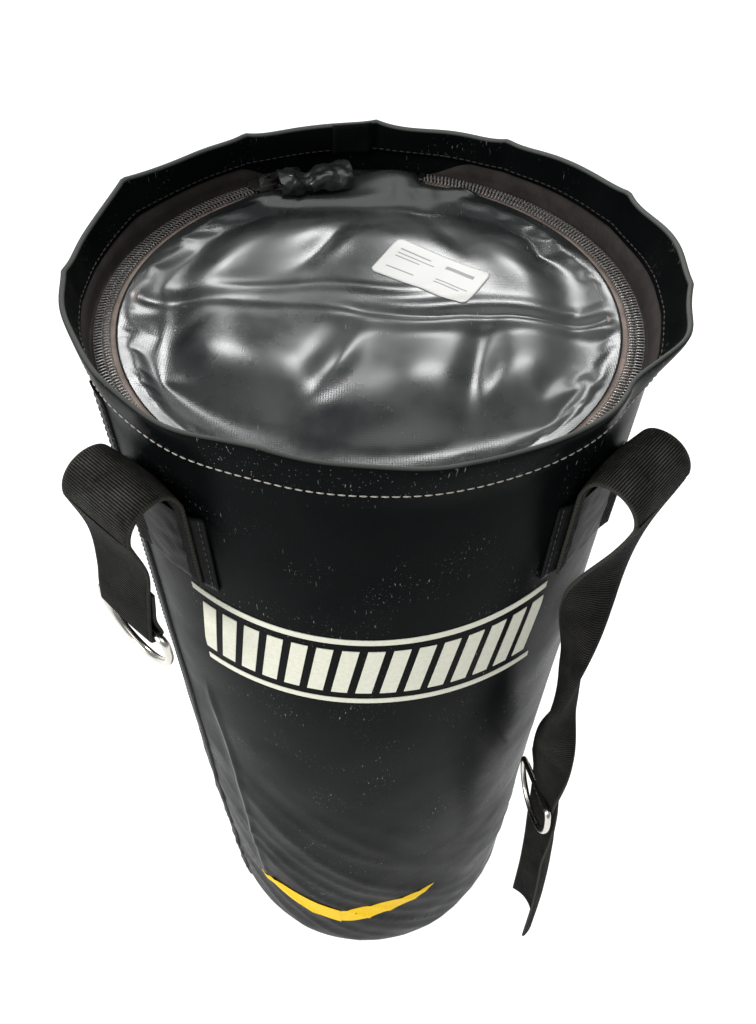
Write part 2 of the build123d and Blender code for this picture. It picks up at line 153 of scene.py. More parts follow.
def crease_distance(azimuth, z):
    """Distance along the wall from the long worn crease, at the front left."""
    along = (CREASE_TOP_Z - z) / (CREASE_TOP_Z - CREASE_FOOT_Z)
    wander = 0.012 * math.sin(21 * z) + 0.006 * math.sin(67 * z)
    line = CREASE_TOP + (CREASE_FOOT - CREASE_TOP) * along + wander
    return azimuth_gap(azimuth, line) * RADIUS


def body_push(azimuth, z):
    """How far the stuffed part stands outside the plain tube; never inside it, where the foam is."""
    filled = ease(0.0, 0.07, z) * ease(HEIGHT - 0.11, HEIGHT - 0.30, z)
    belly = 1.2 * ease(0.02, 0.3, z)
    rising = fold_noise(azimuth, z, 5.2, 2.6)
    falling = fold_noise(azimuth + 2.0, z, -4.4, 3.4)
    folds = 3.4 * rising ** 1.5 + 2.2 * falling ** 2
    sharp = 1.3 * (1 - abs(2 * fold_noise(azimuth, z, 6.4, 4.2) - 1)) ** 6
    low = ease(0.62 * HEIGHT, 0.30 * HEIGHT, z)
    within = ease(CREASE_FOOT_Z - 0.03, CREASE_FOOT_Z, z) * ease(CREASE_TOP_Z + 0.03, CREASE_TOP_Z, z)
    crease = 1.5 * hump(crease_distance(azimuth, z), 4 * MM) * within
    aside = azimuth_gap(azimuth, math.atan2(LOW_RING.y, LOW_RING.x))
    calm = 1 - ease(0.85, 0.22, abs(aside)) * ease(0.26, 0.07, abs(z - LOW_RING.z + 0.02))
    return (calm * filled * (belly + (0.35 + 0.65 * low) * folds + low * sharp) + crease) * MM


def follow_wall(point):
    """Moves a point of the plain tube to where the real sheet is."""
    radius, azimuth = math.hypot(point.x, point.y), math.atan2(point.y, point.x)
    free = ease(COLLAR_START, HEIGHT, point.z)
    radius += free * rim_push(azimuth) + body_push(azimuth, point.z)
    return polar(radius, azimuth, point.z + free * rim_rise(azimuth))


def on_wall(azimuth, z, out=0.0):
    """A point at a distance outside the wall's outer face."""
    return follow_wall(polar(RADIUS + out, azimuth, z))


# %% [markdown]
# ## Helpers for nodes and pieces
#
# A material is a small tree of nodes. One function adds a node with its settings and links. Colours are
# written as sRGB hex, which is how a maker names them, and turned to the linear values Blender wants.

# %% Node and colour helpers
def srgb(code):
    """A hex colour as linear red, green, blue and alpha."""
    parts = [int(code[i:i + 2], 16) / 255 for i in (1, 3, 5)]
    return [p / 12.92 if p <= 0.04045 else ((p + 0.055) / 1.055) ** 2.4 for p in parts] + [1.0]


def add(tree, kind, inputs=None, **settings):
    """Adds a node. An input is a value, or another node's output to link from."""
    made = tree.nodes.new("ShaderNode" + kind)
    for name, value in settings.items():
        setattr(made, name, value)
    for socket, value in (inputs or {}).items():
        if isinstance(value, bpy.types.NodeSocket):
            tree.links.new(value, made.inputs[socket])
        else:
            made.inputs[socket].default_value = value
    return made


def new_finish(name):
    """A new material and its empty tree."""
    made = bpy.data.materials.new(name)
    made.use_nodes = True
    made.node_tree.nodes.clear()
    return made, made.node_tree


def shade(finish, inputs):
    """Ends a finish with its surface shader."""
    tree = finish.node_tree
    shader = add(tree, "BsdfPrincipled", inputs)
    add(tree, "OutputMaterial", {"Surface": shader.outputs[0]})
    return finish


def wave_scale(pitch):
    """The Wave texture's scale that repeats every pitch metres."""
    return math.pi / (10 * pitch)


# %% [markdown]
# A piece starts as a bmesh. Finishing it means writing the mesh, smoothing it, giving a sheet its
# thickness, hanging it under the empty of the body it rides on, and hiding the plain CAD nodes it stands for.

# %% Piece helpers
def finish_piece(name, shape, finish, body, stands_for=(), thickness=0.0, offset=0.0, levels=0):
    """Turns a bmesh into a finished piece."""
    mesh = bpy.data.meshes.new(name)
    for face in shape.faces:
        face.smooth = True
    shape.to_mesh(mesh)
    shape.free()
    mesh.materials.append(finish)
    piece = bpy.data.objects.new(name, mesh)
    bpy.context.scene.collection.objects.link(piece)
    if thickness:
        wall = piece.modifiers.new("thickness", "SOLIDIFY")
        wall.thickness = thickness
        wall.offset = offset
    if levels:
        soft = piece.modifiers.new("smooth", "SUBSURF")
        soft.levels = soft.render_levels = levels
    if body:
        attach(piece, body)
    if stands_for:
        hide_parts(*stands_for)
    return piece


def grid(across, along, place, cloth):
    """A sheet made from a grid: place gives each point, cloth its place on the flat cut in metres."""
    shape = bmesh.new()
    bmesh.ops.create_grid(shape, x_segments=across, y_segments=along, size=0.5)
    flat = shape.loops.layers.uv.new("cut")
    for face in shape.faces:
        for loop in face.loops:
            loop[flat].uv = cloth(loop.vert.co.x, loop.vert.co.y + 0.5)
    for vertex in shape.verts:
        vertex.co = place(vertex.co.x, vertex.co.y + 0.5)
    return shape


def spun(outline, start, end, steps):
    """Turns an outline of (radius, z) points about the bag's axis, from one azimuth to another."""
    shape = bmesh.new()
    corners = [shape.verts.new(polar(r, start, z)) for r, z in outline]
    edges = [shape.edges.new(pair) for pair in zip(corners, corners[1:])]
    whole = abs(end - start - 2 * math.pi) < 1e-6
    bmesh.ops.spin(
        shape, geom=corners + edges, cent=(0, 0, 0), axis=(0, 0, 1), angle=end - start,
        steps=steps, use_merge=whole,
    )
    return shape


def wrap_uv(shape, height_of):
    """Gives a spun sheet its cut's map, in metres: round the bag, and height_of each point."""
    flat = shape.loops.layers.uv.new("cut")
    for face in shape.faces:
        middle = math.atan2(face.calc_center_median().y, face.calc_center_median().x)
        for loop in face.loops:
            turn = middle + azimuth_gap(math.atan2(loop.vert.co.y, loop.vert.co.x), middle)
            loop[flat].uv = (turn * RADIUS, height_of(loop.vert.co))


def face_away(shape, centre):
    """Turns an open sheet's faces so that they look away from a point."""
    shape.normal_update()
    outward = sum(f.normal.dot((f.calc_center_median() - centre).normalized()) for f in shape.faces)
    if outward < 0:
        bmesh.ops.reverse_faces(shape, faces=shape.faces)


def smooth_path(points, count):
    """Evenly spaced points on a smooth line through the given ones."""
    ends = [points[0] * 2 - points[1]] + list(points) + [points[-1] * 2 - points[-2]]
    fine = []
    for p0, p1, p2, p3 in zip(ends, ends[1:], ends[2:], ends[3:]):
        for k in range(24):
            t = k / 24
            fine.append(0.5 * (
                2 * p1 + (p2 - p0) * t + (2 * p0 - 5 * p1 + 4 * p2 - p3) * t * t
                + (3 * p1 - p0 - 3 * p2 + p3) * t ** 3
            ))
    fine.append(points[-1].copy())
    reach = [0.0]
    for a, b in zip(fine, fine[1:]):
        reach.append(reach[-1] + (b - a).length)
    line, k = [], 0
    for i in range(count + 1):
        goal = reach[-1] * i / count
        while k < len(fine) - 2 and reach[k + 1] < goal:
            k += 1
        share = (goal - reach[k]) / max(reach[k + 1] - reach[k], 1e-9)
        line.append(fine[k].lerp(fine[k + 1], share))
    return line, reach[-1]


def joined_copies(shape, places):
    """One bmesh that holds a copy of a small shape at each matrix, and frees the small one."""
    small = bpy.data.meshes.new("stitch")
    shape.to_mesh(small)
    shape.free()
    whole = bmesh.new()
    for place in places:
        first = len(whole.verts)
        whole.from_mesh(small)
        whole.verts.ensure_lookup_table()
        bmesh.ops.transform(whole, matrix=place, verts=whole.verts[first:])
    bpy.data.meshes.remove(small)
    return whole


# %% [markdown]
# ## Coated vinyl
#
# The wall and lid are polyester scrim coated with black PVC: near black with a cold tint, glossy where
# it is clean, duller where hands and gloves rub it, and faintly marked by the scrim's threads. Real
# threads are 0.5 mm apart, which is too fine to show, so they are drawn 1.3 mm apart.

# %% Coated vinyl
SCRIM_PITCH = 1.3 * MM


def line_wear(tree, u, v, start, end, half_width):
    """A mask along a straight line on the cut, worn unevenly. start and end are (u, v) places."""
    slope = (end[0] - start[0]) / (end[1] - start[1])
    from_start = add(tree, "Math", {0: v, 1: start[1]}, operation="SUBTRACT").outputs[0]
    line = add(tree, "Math", {0: from_start, 1: slope, 2: start[0]}, operation="MULTIPLY_ADD").outputs[0]
    miss = add(tree, "Math", {0: u, 1: line}, operation="SUBTRACT").outputs[0]
    wander = add(tree, "Math", {0: v, 1: 21.0}, operation="MULTIPLY").outputs[0]
    wave = add(tree, "Math", {0: wander}, operation="SINE").outputs[0]
    miss = add(tree, "Math", {0: wave, 1: -0.012 * RADIUS, 2: miss}, operation="MULTIPLY_ADD").outputs[0]
    miss = add(tree, "Math", {0: miss}, operation="ABSOLUTE").outputs[0]
    near = add(tree, "MapRange", {"Value": miss, "From Min": half_width, "From Max": 0.0})
    above = add(tree, "MapRange", {"Value": v, "From Min": end[1] - 0.03, "From Max": end[1] + 0.02})
    below = add(tree, "MapRange", {"Value": v, "From Min": start[1] + 0.03, "From Max": start[1] - 0.02})
    part = add(tree, "Math", {0: near.outputs[0], 1: above.outputs[0]}, operation="MULTIPLY").outputs[0]
    return add(tree, "Math", {0: part, 1: below.outputs[0]}, operation="MULTIPLY").outputs[0]


def coated_vinyl(name, black, gloss, shine, marks, dust_and_sheen, bump, on_bag=False):
    """Glossy PVC-coated scrim. gloss is its roughness, shine how much it mirrors, marks how scuffed
    and dust_and_sheen how strong its pale film is: dust, and a painted sheen for broad soft reflections."""
    finish, tree = new_finish(name)
    where = add(tree, "TexCoord").outputs["UV"]
    cloud = add(tree, "TexNoise", {"Vector": where, "Scale": 14.0, "Detail": 5.0, "Roughness": 0.6})
    rough = add(tree, "MapRange", {
        "Value": cloud.outputs[0], "From Min": 0.35, "From Max": 0.7, "To Min": gloss, "To Max": gloss + 0.16,
    })
    dust = add(tree, "TexNoise", {"Vector": where, "Scale": 620.0, "Detail": 2.0, "Roughness": 0.7})
    dust_high = add(tree, "MapRange", {"Value": dust.outputs[0], "From Min": 0.66, "From Max": 0.74})
    patch = add(tree, "TexNoise", {"Vector": where, "Scale": 23.0, "Detail": 3.0})
    patch_high = add(tree, "MapRange", {
        "Value": patch.outputs[0], "From Min": 0.48, "From Max": 0.66, "To Max": marks,
    })
    specks = add(tree, "Math", {0: dust_high.outputs[0], 1: patch_high.outputs[0]}, operation="MULTIPLY")
    drawn = add(tree, "Mapping", {"Vector": where, "Scale": (900.0, 150.0, 1.0)})
    scratch = add(tree, "TexNoise", {"Vector": drawn.outputs[0], "Scale": 1.0, "Detail": 1.0})
    scratch_high = add(tree, "MapRange", {"Value": scratch.outputs[0], "From Min": 0.70, "From Max": 0.78})
    scuffs = add(tree, "Math", {0: scratch_high.outputs[0], 1: patch_high.outputs[0]}, operation="MULTIPLY")
    worn = add(tree, "Math", {0: specks.outputs[0], 1: scuffs.outputs[0]}, operation="MAXIMUM").outputs[0]
    # A pale film in broad patches of the cloud noise: part dust, part a painted sheen that stands in for broad soft
    # reflections. From here worn carries this painted sheen as well as the wear marks.
    film = add(tree, "MapRange", {
        "Value": cloud.outputs[0], "From Min": 0.28, "From Max": 0.72, "To Max": dust_and_sheen,
    }).outputs[0]
    worn = add(tree, "Math", {0: worn, 1: film}, operation="MAXIMUM").outputs[0]
    if on_bag:
        split = add(tree, "SeparateXYZ", {0: where})
        u, v = split.outputs[0], split.outputs[1]
        crease = line_wear(
            tree, u, v, (CREASE_TOP * RADIUS, CREASE_TOP_Z), (CREASE_FOOT * RADIUS, CREASE_FOOT_Z), 1.6 * MM,
        )
        crease = add(tree, "Math", {0: crease, 1: 0.55}, operation="MULTIPLY").outputs[0]
        edge = add(tree, "Math", {0: v, 1: HEIGHT + 0.6 * MM}, operation="SUBTRACT").outputs[0]
        edge = add(tree, "Math", {0: edge}, operation="ABSOLUTE").outputs[0]
        edge = add(tree, "MapRange", {
            "Value": edge, "From Min": 1.5 * MM, "From Max": 0.3 * MM, "To Max": 0.30,
        }).outputs[0]
        foot = add(tree, "MapRange", {"Value": v, "From Min": 45 * MM, "From Max": 0.0, "To Max": 0.5})
        foot = add(tree, "Math", {0: foot.outputs[0], 1: patch.outputs[0]}, operation="MULTIPLY").outputs[0]
        for mask in (crease, edge, foot):
            worn = add(tree, "Math", {0: worn, 1: mask}, operation="MAXIMUM").outputs[0]
    colour = add(tree, "Mix", {0: worn, 6: srgb(black), 7: srgb("#9EA09A")}, data_type="RGBA")
    dulled = add(tree, "Math", {0: worn, 1: 0.3, 2: rough.outputs[0]}, operation="MULTIPLY_ADD")
    warp = add(tree, "TexWave", {"Vector": where, "Scale": wave_scale(SCRIM_PITCH)}, bands_direction="X")
    weft = add(tree, "TexWave", {"Vector": where, "Scale": wave_scale(SCRIM_PITCH)}, bands_direction="Y")
    threads = add(tree, "Math", {0: warp.outputs[1], 1: weft.outputs[1]}, operation="ADD").outputs[0]
    dents = add(tree, "TexNoise", {"Vector": where, "Scale": 60.0, "Detail": 4.0})
    height = add(tree, "Math", {0: dents.outputs[0], 1: 2.5, 2: threads}, operation="MULTIPLY_ADD")
    relief = add(tree, "Bump", {"Height": height.outputs[0], "Strength": bump, "Distance": 0.35 * MM})
    return shade(finish, {
        "Base Color": colour.outputs[2], "Roughness": dulled.outputs[0], "Normal": relief.outputs[0],
        "IOR": 1.53, "Specular IOR Level": shine,
    })


# The next to last number is the pale film of dust and painted sheen; the lid has the most of it.
wall_vinyl = coated_vinyl("coated_vinyl_wall", "#060809", 0.25, 0.012, 0.8, 0.010, 0.08, on_bag=True)
lid_vinyl = coated_vinyl("coated_vinyl_lid", "#0B1012", 0.20, 0.50, 0.6, 0.13, 0.035)
trim_vinyl = coated_vinyl("coated_vinyl_trim", "#08090A", 0.32, 0.03, 0.8, 0.03, 0.2)

# %% [markdown]
# ## Webbing, tape and thread
#
# The straps are nylon webbing: its cross ribs stand 1.8 mm apart, and they are paler towards the top, near the bends.
# The zip's tapes are finer polyester, faded to a dusty beige on the lid's side. Cloth patterns read the
# cut's own map, in metres, so that the ribs bend with the strap.

# %% Woven finishes
RIB_PITCH = 1.8 * MM
PALE_RIBS_FROM, PALE_RIBS_FULL = HEIGHT - 75 * MM, HEIGHT - 38 * MM


def ribbed_webbing(name, dark, dusty, dust):
    """Nylon webbing with cross ribs; v runs along the strap and u across it, in metres."""
    finish, tree = new_finish(name)
    where = add(tree, "TexCoord").outputs["UV"]
    ribs = add(tree, "TexWave", {
        "Vector": where, "Scale": wave_scale(RIB_PITCH), "Distortion": 0.4, "Detail Scale": 2.0,
    }, bands_direction="Y")
    yarns = add(tree, "TexWave", {"Vector": where, "Scale": wave_scale(1.5 * MM)}, bands_direction="X")
    cloud = add(tree, "TexNoise", {"Vector": where, "Scale": 34.0, "Detail": 5.0, "Roughness": 0.65})
    fuzz = add(tree, "TexNoise", {"Vector": where, "Scale": 1400.0, "Detail": 2.0})
    settled = add(tree, "MapRange", {
        "Value": cloud.outputs[0], "From Min": 0.34, "From Max": 0.72, "To Min": 0.1 * dust, "To Max": dust,
    })
    high = add(tree, "Math", {0: ribs.outputs[1], 1: settled.outputs[0]}, operation="MULTIPLY").outputs[0]
    high = add(tree, "Math", {0: high, 1: fuzz.outputs[0]}, operation="MULTIPLY").outputs[0]
    # The pale ribs are painted paler towards the top of the strap; below the bends their share drops to 0.3.
    place = add(tree, "SeparateXYZ", {0: add(tree, "TexCoord").outputs["Object"]})
    upper = add(tree, "MapRange", {
        "Value": place.outputs[2], "From Min": PALE_RIBS_FROM, "From Max": PALE_RIBS_FULL, "To Min": 0.3,
    }).outputs[0]
    high = add(tree, "Math", {0: high, 1: upper}, operation="MULTIPLY").outputs[0]
    split = add(tree, "SeparateXYZ", {0: where})
    side = add(tree, "Math", {0: split.outputs[0]}, operation="ABSOLUTE").outputs[0]
    selvedge = add(tree, "MapRange", {
        "Value": side, "From Min": 0.5 * WEBBING_WIDTH - 1.6 * MM, "From Max": 0.5 * WEBBING_WIDTH,
        "To Max": 0.18 * dust,
    }).outputs[0]
    pale = add(tree, "Math", {0: high, 1: selvedge}, operation="MAXIMUM").outputs[0]
    colour = add(tree, "Mix", {0: pale, 6: srgb(dark), 7: srgb(dusty)}, data_type="RGBA")
    height = add(tree, "Math", {0: yarns.outputs[1], 1: 0.3, 2: ribs.outputs[1]}, operation="MULTIPLY_ADD")
    relief = add(tree, "Bump", {"Height": height.outputs[0], "Strength": 0.9, "Distance": 0.5 * MM})
    return shade(finish, {
        "Base Color": colour.outputs[2], "Normal": relief.outputs[0], "Roughness": 0.78,
        "Specular IOR Level": 0.05, "Sheen Weight": 0.02, "Sheen Roughness": 0.5,
    })


def woven_tape(name, dark, pale, dust):
    """Fine zip tape: a herringbone of polyester yarns, with dust in patches."""
    finish, tree = new_finish(name)
    where = add(tree, "TexCoord").outputs["UV"]
    turned = add(tree, "Mapping", {"Vector": where, "Rotation": (0, 0, math.radians(38))})
    twill = add(tree, "TexWave", {"Vector": turned.outputs[0], "Scale": wave_scale(1.1 * MM)})
    cloud = add(tree, "TexNoise", {"Vector": where, "Scale": 45.0, "Detail": 5.0, "Roughness": 0.7})
    mixed = add(tree, "Math", {0: twill.outputs[1], 1: 0.35, 2: cloud.outputs[0]}, operation="MULTIPLY_ADD")
    share = add(tree, "MapRange", {
        "Value": mixed.outputs[0], "From Min": 0.4, "From Max": 1.0, "To Max": dust,
    })
    colour = add(tree, "Mix", {0: share.outputs[0], 6: srgb(dark), 7: srgb(pale)}, data_type="RGBA")
    relief = add(tree, "Bump", {"Height": twill.outputs[1], "Strength": 0.5, "Distance": 0.25 * MM})
    return shade(finish, {
        "Base Color": colour.outputs[2], "Normal": relief.outputs[0], "Roughness": 0.85,
        "Specular IOR Level": 0.3,
    })


def twisted_thread(name, tone, shadow):
    """Bonded sewing thread, its tone mixed by a fine noise between a darker and a lighter colour."""
    finish, tree = new_finish(name)
    where = add(tree, "TexCoord").outputs["Object"]
    twist = add(tree, "TexNoise", {"Vector": where, "Scale": 900.0, "Detail": 2.0})
    colour = add(tree, "Mix", {0: twist.outputs[0], 6: srgb(shadow), 7: srgb(tone)}, data_type="RGBA")
    relief = add(tree, "Bump", {"Height": twist.outputs[0], "Strength": 0.3, "Distance": 0.2 * MM})
    return shade(finish, {
        "Base Color": colour.outputs[2], "Normal": relief.outputs[0], "Roughness": 0.6,
    })


strap_webbing = ribbed_webbing("nylon_webbing", "#050505", "#A5A296", 0.6)
wall_tape = woven_tape("polyester_tape_wall", "#171413", "#463E3A", 0.8)
lid_tape = woven_tape("polyester_tape_lid", "#5F524D", "#B3A297", 0.9)
pale_thread = twisted_thread("thread_pale", "#CFC9BC", "#7D786E")
dark_thread = twisted_thread("thread_dark", "#2B2A29", "#121212")

# %% [markdown]
# ## Metal, nylon, ink, paper and stuffing
#
# The D-rings are steel wire with bright nickel plate, the slider is black nickel over cast zinc, and the
# chain is a nylon monofilament coil. The printed bands are screen ink, which lies matt on the gloss.

# %% Hard and printed finishes
def plated_metal(name, tone, worn_tone, rough, wear_from):
    """Plated metal with fine handling marks and plate worn through in small patches."""
    finish, tree = new_finish(name)
    where = add(tree, "TexCoord").outputs["Object"]
    rub = add(tree, "TexNoise", {"Vector": where, "Scale": 260.0, "Detail": 4.0, "Roughness": 0.7})
    worn = add(tree, "MapRange", {"Value": rub.outputs[0], "From Min": wear_from, "From Max": wear_from + 0.12})
    colour = add(tree, "Mix", {0: worn.outputs[0], 6: srgb(tone), 7: srgb(worn_tone)}, data_type="RGBA")
    spread = add(tree, "MapRange", {"Value": rub.outputs[0], "To Min": rough, "To Max": rough + 0.18})
    relief = add(tree, "Bump", {"Height": rub.outputs[0], "Strength": 0.08, "Distance": 0.1 * MM})
    return shade(finish, {
        "Base Color": colour.outputs[2], "Roughness": spread.outputs[0], "Normal": relief.outputs[0],
        "Metallic": 1.0,
    })


def plain_grained(name, tone, other, rough, grain, relief_depth, strength=0.3, shine=0.5):
    """A moulded, printed or fibrous surface: two close tones and a grain of a stated size."""
    finish, tree = new_finish(name)
    where = add(tree, "TexCoord").outputs["Object"]
    speck = add(tree, "TexNoise", {"Vector": where, "Scale": 1 / grain, "Detail": 4.0, "Roughness": 0.6})
    share = add(tree, "MapRange", {"Value": speck.outputs[0], "From Min": 0.38, "From Max": 0.68})
    colour = add(tree, "Mix", {0: share.outputs[0], 6: srgb(tone), 7: srgb(other)}, data_type="RGBA")
    relief = add(tree, "Bump", {"Height": speck.outputs[0], "Strength": strength, "Distance": relief_depth})
    return shade(finish, {
        "Base Color": colour.outputs[2], "Roughness": rough, "Normal": relief.outputs[0],
        "Specular IOR Level": shine,
    })


def printed_label():
    """White label paper with plain grey bars where a printer would fill in a form."""
    finish, tree = new_finish("label_paper_plain")
    split = add(tree, "SeparateXYZ", {0: add(tree, "TexCoord").outputs["UV"]})
    u, v = split.outputs[0], split.outputs[1]
    masks = []
    for left, right, low, high in (
        (6, 26, 25, 26.2), (6, 30, 21.5, 22.4), (6, 22, 18.5, 19.4), (36, 54, 23.5, 26.5),
        (36, 56, 12, 13), (36, 52, 9.5, 10.5), (6, 24, 8, 9),
    ):
        part = None
        for axis, edge, sense in ((u, left, "GREATER_THAN"), (u, right, "LESS_THAN"),
                                  (v, low, "GREATER_THAN"), (v, high, "LESS_THAN")):
            side = add(tree, "Math", {0: axis, 1: edge * MM}, operation=sense).outputs[0]
            both = side if part is None else add(tree, "Math", {0: part, 1: side}, operation="MULTIPLY").outputs[0]
            part = both
        masks.append(part)
    ink = masks[0]
    for mask in masks[1:]:
        ink = add(tree, "Math", {0: ink, 1: mask}, operation="MAXIMUM").outputs[0]
    ink = add(tree, "Math", {0: ink, 1: 0.75}, operation="MULTIPLY").outputs[0]
    colour = add(tree, "Mix", {0: ink, 6: srgb("#C4C3BF"), 7: srgb("#2E2E30")}, data_type="RGBA")
    fibre = add(tree, "TexNoise", {"Vector": add(tree, "TexCoord").outputs["UV"], "Scale": 700.0})
    relief = add(tree, "Bump", {"Height": fibre.outputs[0], "Strength": 0.1, "Distance": 0.1 * MM})
    return shade(finish, {"Base Color": colour.outputs[2], "Roughness": 0.42, "Normal": relief.outputs[0]})


nickel_plate = plated_metal("nickel_plated_steel", "#D2CEC6", "#9A958C", 0.16, 0.60)
black_nickel = plated_metal("black_nickel_zinc", "#A3A2A0", "#C8C6C2", 0.24, 0.60)
coil_nylon = plain_grained("nylon_monofilament", "#63605D", "#96928D", 0.24, 1.2 * MM, 0.05 * MM)
stop_plastic = plain_grained("moulded_acetal", "#121212", "#1C1C1C", 0.3, 0.6 * MM, 0.05 * MM)
cream_ink = plain_grained("screen_ink_cream", "#E6E5D4", "#DCDAC8", 0.42, 2.5 * MM, 0.05 * MM, 0.06, 0.03)
yellow_ink = plain_grained("screen_ink_yellow", "#FFD000", "#F6C600", 0.42, 2.5 * MM, 0.05 * MM, 0.06, 0.03)
base_vinyl = plain_grained("matt_vinyl_base", "#101011", "#1B1B1C", 0.62, 1.5 * MM, 0.2 * MM)
liner_foam = plain_grained("open_cell_foam", "#5B5C60", "#7A7B80", 0.95, 1.0 * MM, 0.5 * MM, 0.8)
textile_fibre = plain_grained("shredded_textile", "#8C8176", "#3E4350", 0.95, 5.0 * MM, 3.0 * MM, 1.0)
label_paper = printed_label()

for node, finish in (
    ("base_panel", base_vinyl), ("foam_liner", liner_foam), ("zip_slider", black_nickel),
    ("zip_puller", black_nickel), ("zip_start_stop", stop_plastic), ("zip_end_stop", stop_plastic),
    *((f"d_ring_{strap}", nickel_plate) for strap in STRAPS),
):
    frame["nodes"][node].material_slots[0].material = finish

# %% [markdown]
# ## The wall and its folded rim
#
# On the real bag one sheet comes up the outside, folds over the rim and is sewn down inside. An outline
# spun about the axis gives that sheet in one go: a rounded foot, the straight wall, a tight fold and a
# 20 mm facing. Then every point is moved by the wall's function, and Solidify gives the thickness.

# %% Wall, rim fold and facing
WALL_STEPS = 300
FOLD_RADIUS = 1.35 * MM


def wall_outline():
    """The sheet's outer face, from the base panel up, over the rim and down inside."""
    line = []
    for k in range(9):
        turn = math.radians(90 * k / 8)
        line.append((
            RADIUS - BASE_ROUND + BASE_ROUND * math.sin(turn), BASE_ROUND * (1 - math.cos(turn)),
        ))
    rows = 92
    top = HEIGHT - 45 * MM
    line += [(RADIUS, BASE_ROUND + (top - BASE_ROUND) * k / rows) for k in range(1, rows + 1)]
    rows = 14
    line += [(RADIUS, top + (HEIGHT - FOLD_RADIUS - top) * k / rows) for k in range(1, rows + 1)]
    for k in range(1, 6):
        turn = math.radians(180 * k / 6)
        line.append((
            RADIUS - FOLD_RADIUS + FOLD_RADIUS * math.cos(turn), HEIGHT - FOLD_RADIUS + FOLD_RADIUS * math.sin(turn),
        ))
    inside = RADIUS - 2 * FOLD_RADIUS
    line += [(inside, HEIGHT - FOLD_RADIUS - (HEM_DEPTH - FOLD_RADIUS) * k / 7) for k in range(8)]
    return line


def wall_height(point):
    """Distance up the flat cut: past the rim it goes on down the facing."""
    if point.z > HEIGHT - 25 * MM and math.hypot(point.x, point.y) < RADIUS - FOLD_RADIUS:
        return 2 * HEIGHT - point.z
    if point.z < BASE_ROUND:
        return BASE_ROUND - BASE_ROUND * math.acos(min(1.0, max(0.0, 1 - (BASE_ROUND - point.z) / BASE_ROUND)))
    return point.z


wall = spun(wall_outline(), -math.pi, math.pi, WALL_STEPS)
wrap_uv(wall, wall_height)
bmesh.ops.recalc_face_normals(wall, faces=wall.faces)
face_away(wall, Vector((0, 0, 0.4 * HEIGHT)))
for vertex in wall.verts:
    vertex.co = follow_wall(vertex.co)
bag_wall = finish_piece(
    "bag_wall", wall, wall_vinyl, "root", ("shell_wall", "rim_hem"), VINYL, -1.0,
)
print("wall faces", len(bag_wall.data.polygons))

# %% [markdown]
# ## Laps and patches on the wall
#
# A lap is a narrow strip on the wall, so it is a grid bent onto it. The patches over the strap roots are
# raised by the webbing under them and pulled down at their sewn edges.

# %% Side seam, rim lap and strap patches
SEAM_AZIMUTH = math.radians(-148.0)
LAP_AZIMUTH = math.radians(95.0)
PATCH_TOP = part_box("strap_patch_front_left")[1].z
PATCH_HEIGHT = PATCH_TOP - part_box("strap_patch_front_left")[0].z
PATCH_WIDTH = 62 * MM


def side_strip(azimuth, width, low, high, lift):
    """A strip up the wall whose long edges come down to it."""
    def place(s, t):
        raised = lift * (1 - (2 * abs(s)) ** 8)
        return on_wall(azimuth + s * width / RADIUS, low + (high - low) * t, raised)
    return grid(8, round((high - low) / (5 * MM)), place, lambda s, t: (s * width, t * (high - low)))


seam = side_strip(SEAM_AZIMUTH, 14 * MM, BASE_ROUND, HEIGHT - 22 * MM, 1.55 * MM)
face_away(seam, Vector((0, 0, 0.4)))
side_seam = finish_piece("side_seam", seam, trim_vinyl, "root", ("side_seam_lap",), VINYL, -1.0)


def lap_place(s, t):
    """The lap inside the rim at the back, a little bowed off the facing."""
    z = HEIGHT - HEM_DEPTH + HEM_DEPTH * 0.985 * t
    return follow_wall(polar(RADIUS - 2 * FOLD_RADIUS - SEAT, LAP_AZIMUTH + s * 26 * MM / RADIUS, z))


lap = grid(8, 8, lap_place, lambda s, t: (s * 26 * MM, t * HEM_DEPTH))
face_away(lap, Vector((0, 3.0, 0.74)))
rim_lap = finish_piece("rim_lap", lap, trim_vinyl, "root", ("rim_lap_patch",), VINYL, 1.0)


def strap_azimuth(strap):
    """The azimuth that a strap hangs at, from its joint."""
    x, y, _ = joints[f"strap_lift_{strap}"]["pos_m"]
    return math.atan2(y, x)


def patch_lift(s, t):
    """How far a patch's outer face stands off the wall, at s across and t up."""
    over_webbing = ease(0.485, 0.40, abs(s)) * ease(0.0, 0.09, t)
    lumps = 0.35 * noise.noise(Vector((7 * s, 7 * t, 3.0)))
    return (1.5 + (2.4 + lumps) * over_webbing) * MM


for strap in STRAPS:
    middle = strap_azimuth(strap)

    def patch_place(s, t):
        corner = 1 - 0.02 * (2 * abs(s)) ** 6
        return on_wall(
            middle + s * PATCH_WIDTH / RADIUS, PATCH_TOP - PATCH_HEIGHT * (1 - t * corner), patch_lift(s, t),
        )

    patch = grid(40, 36, patch_place, lambda s, t: (s * PATCH_WIDTH, t * PATCH_HEIGHT))
    face_away(patch, Vector((0, 0, PATCH_TOP - 0.03)))
    finish_piece(
        f"strap_patch_sheet_{strap}", patch, trim_vinyl, "root", (f"strap_patch_{strap}",), VINYL, -1.0,
    )

# %% [markdown]
# ## Stitches
#
# A lockstitch shows as short capsules of thread in a row. There are hundreds, so each is a small ball of
# a few dozen faces, drawn out along the seam and joined into one piece per seam.

# %% Stitch rows
STITCH = 3.6 * MM
STITCH_PITCH = 4.5 * MM
THREAD = 0.42 * MM


def stitch_shape(length, thickness):
    """One stitch, drawn out along X."""
    shape = bmesh.new()
    bmesh.ops.create_uvsphere(shape, u_segments=6, v_segments=5, radius=1.0)
    bmesh.ops.rotate(shape, verts=shape.verts, matrix=Matrix.Rotation(math.pi / 2, 3, "Y"))
    bmesh.ops.scale(shape, verts=shape.verts, vec=(length / 2, thickness, thickness))
    return shape


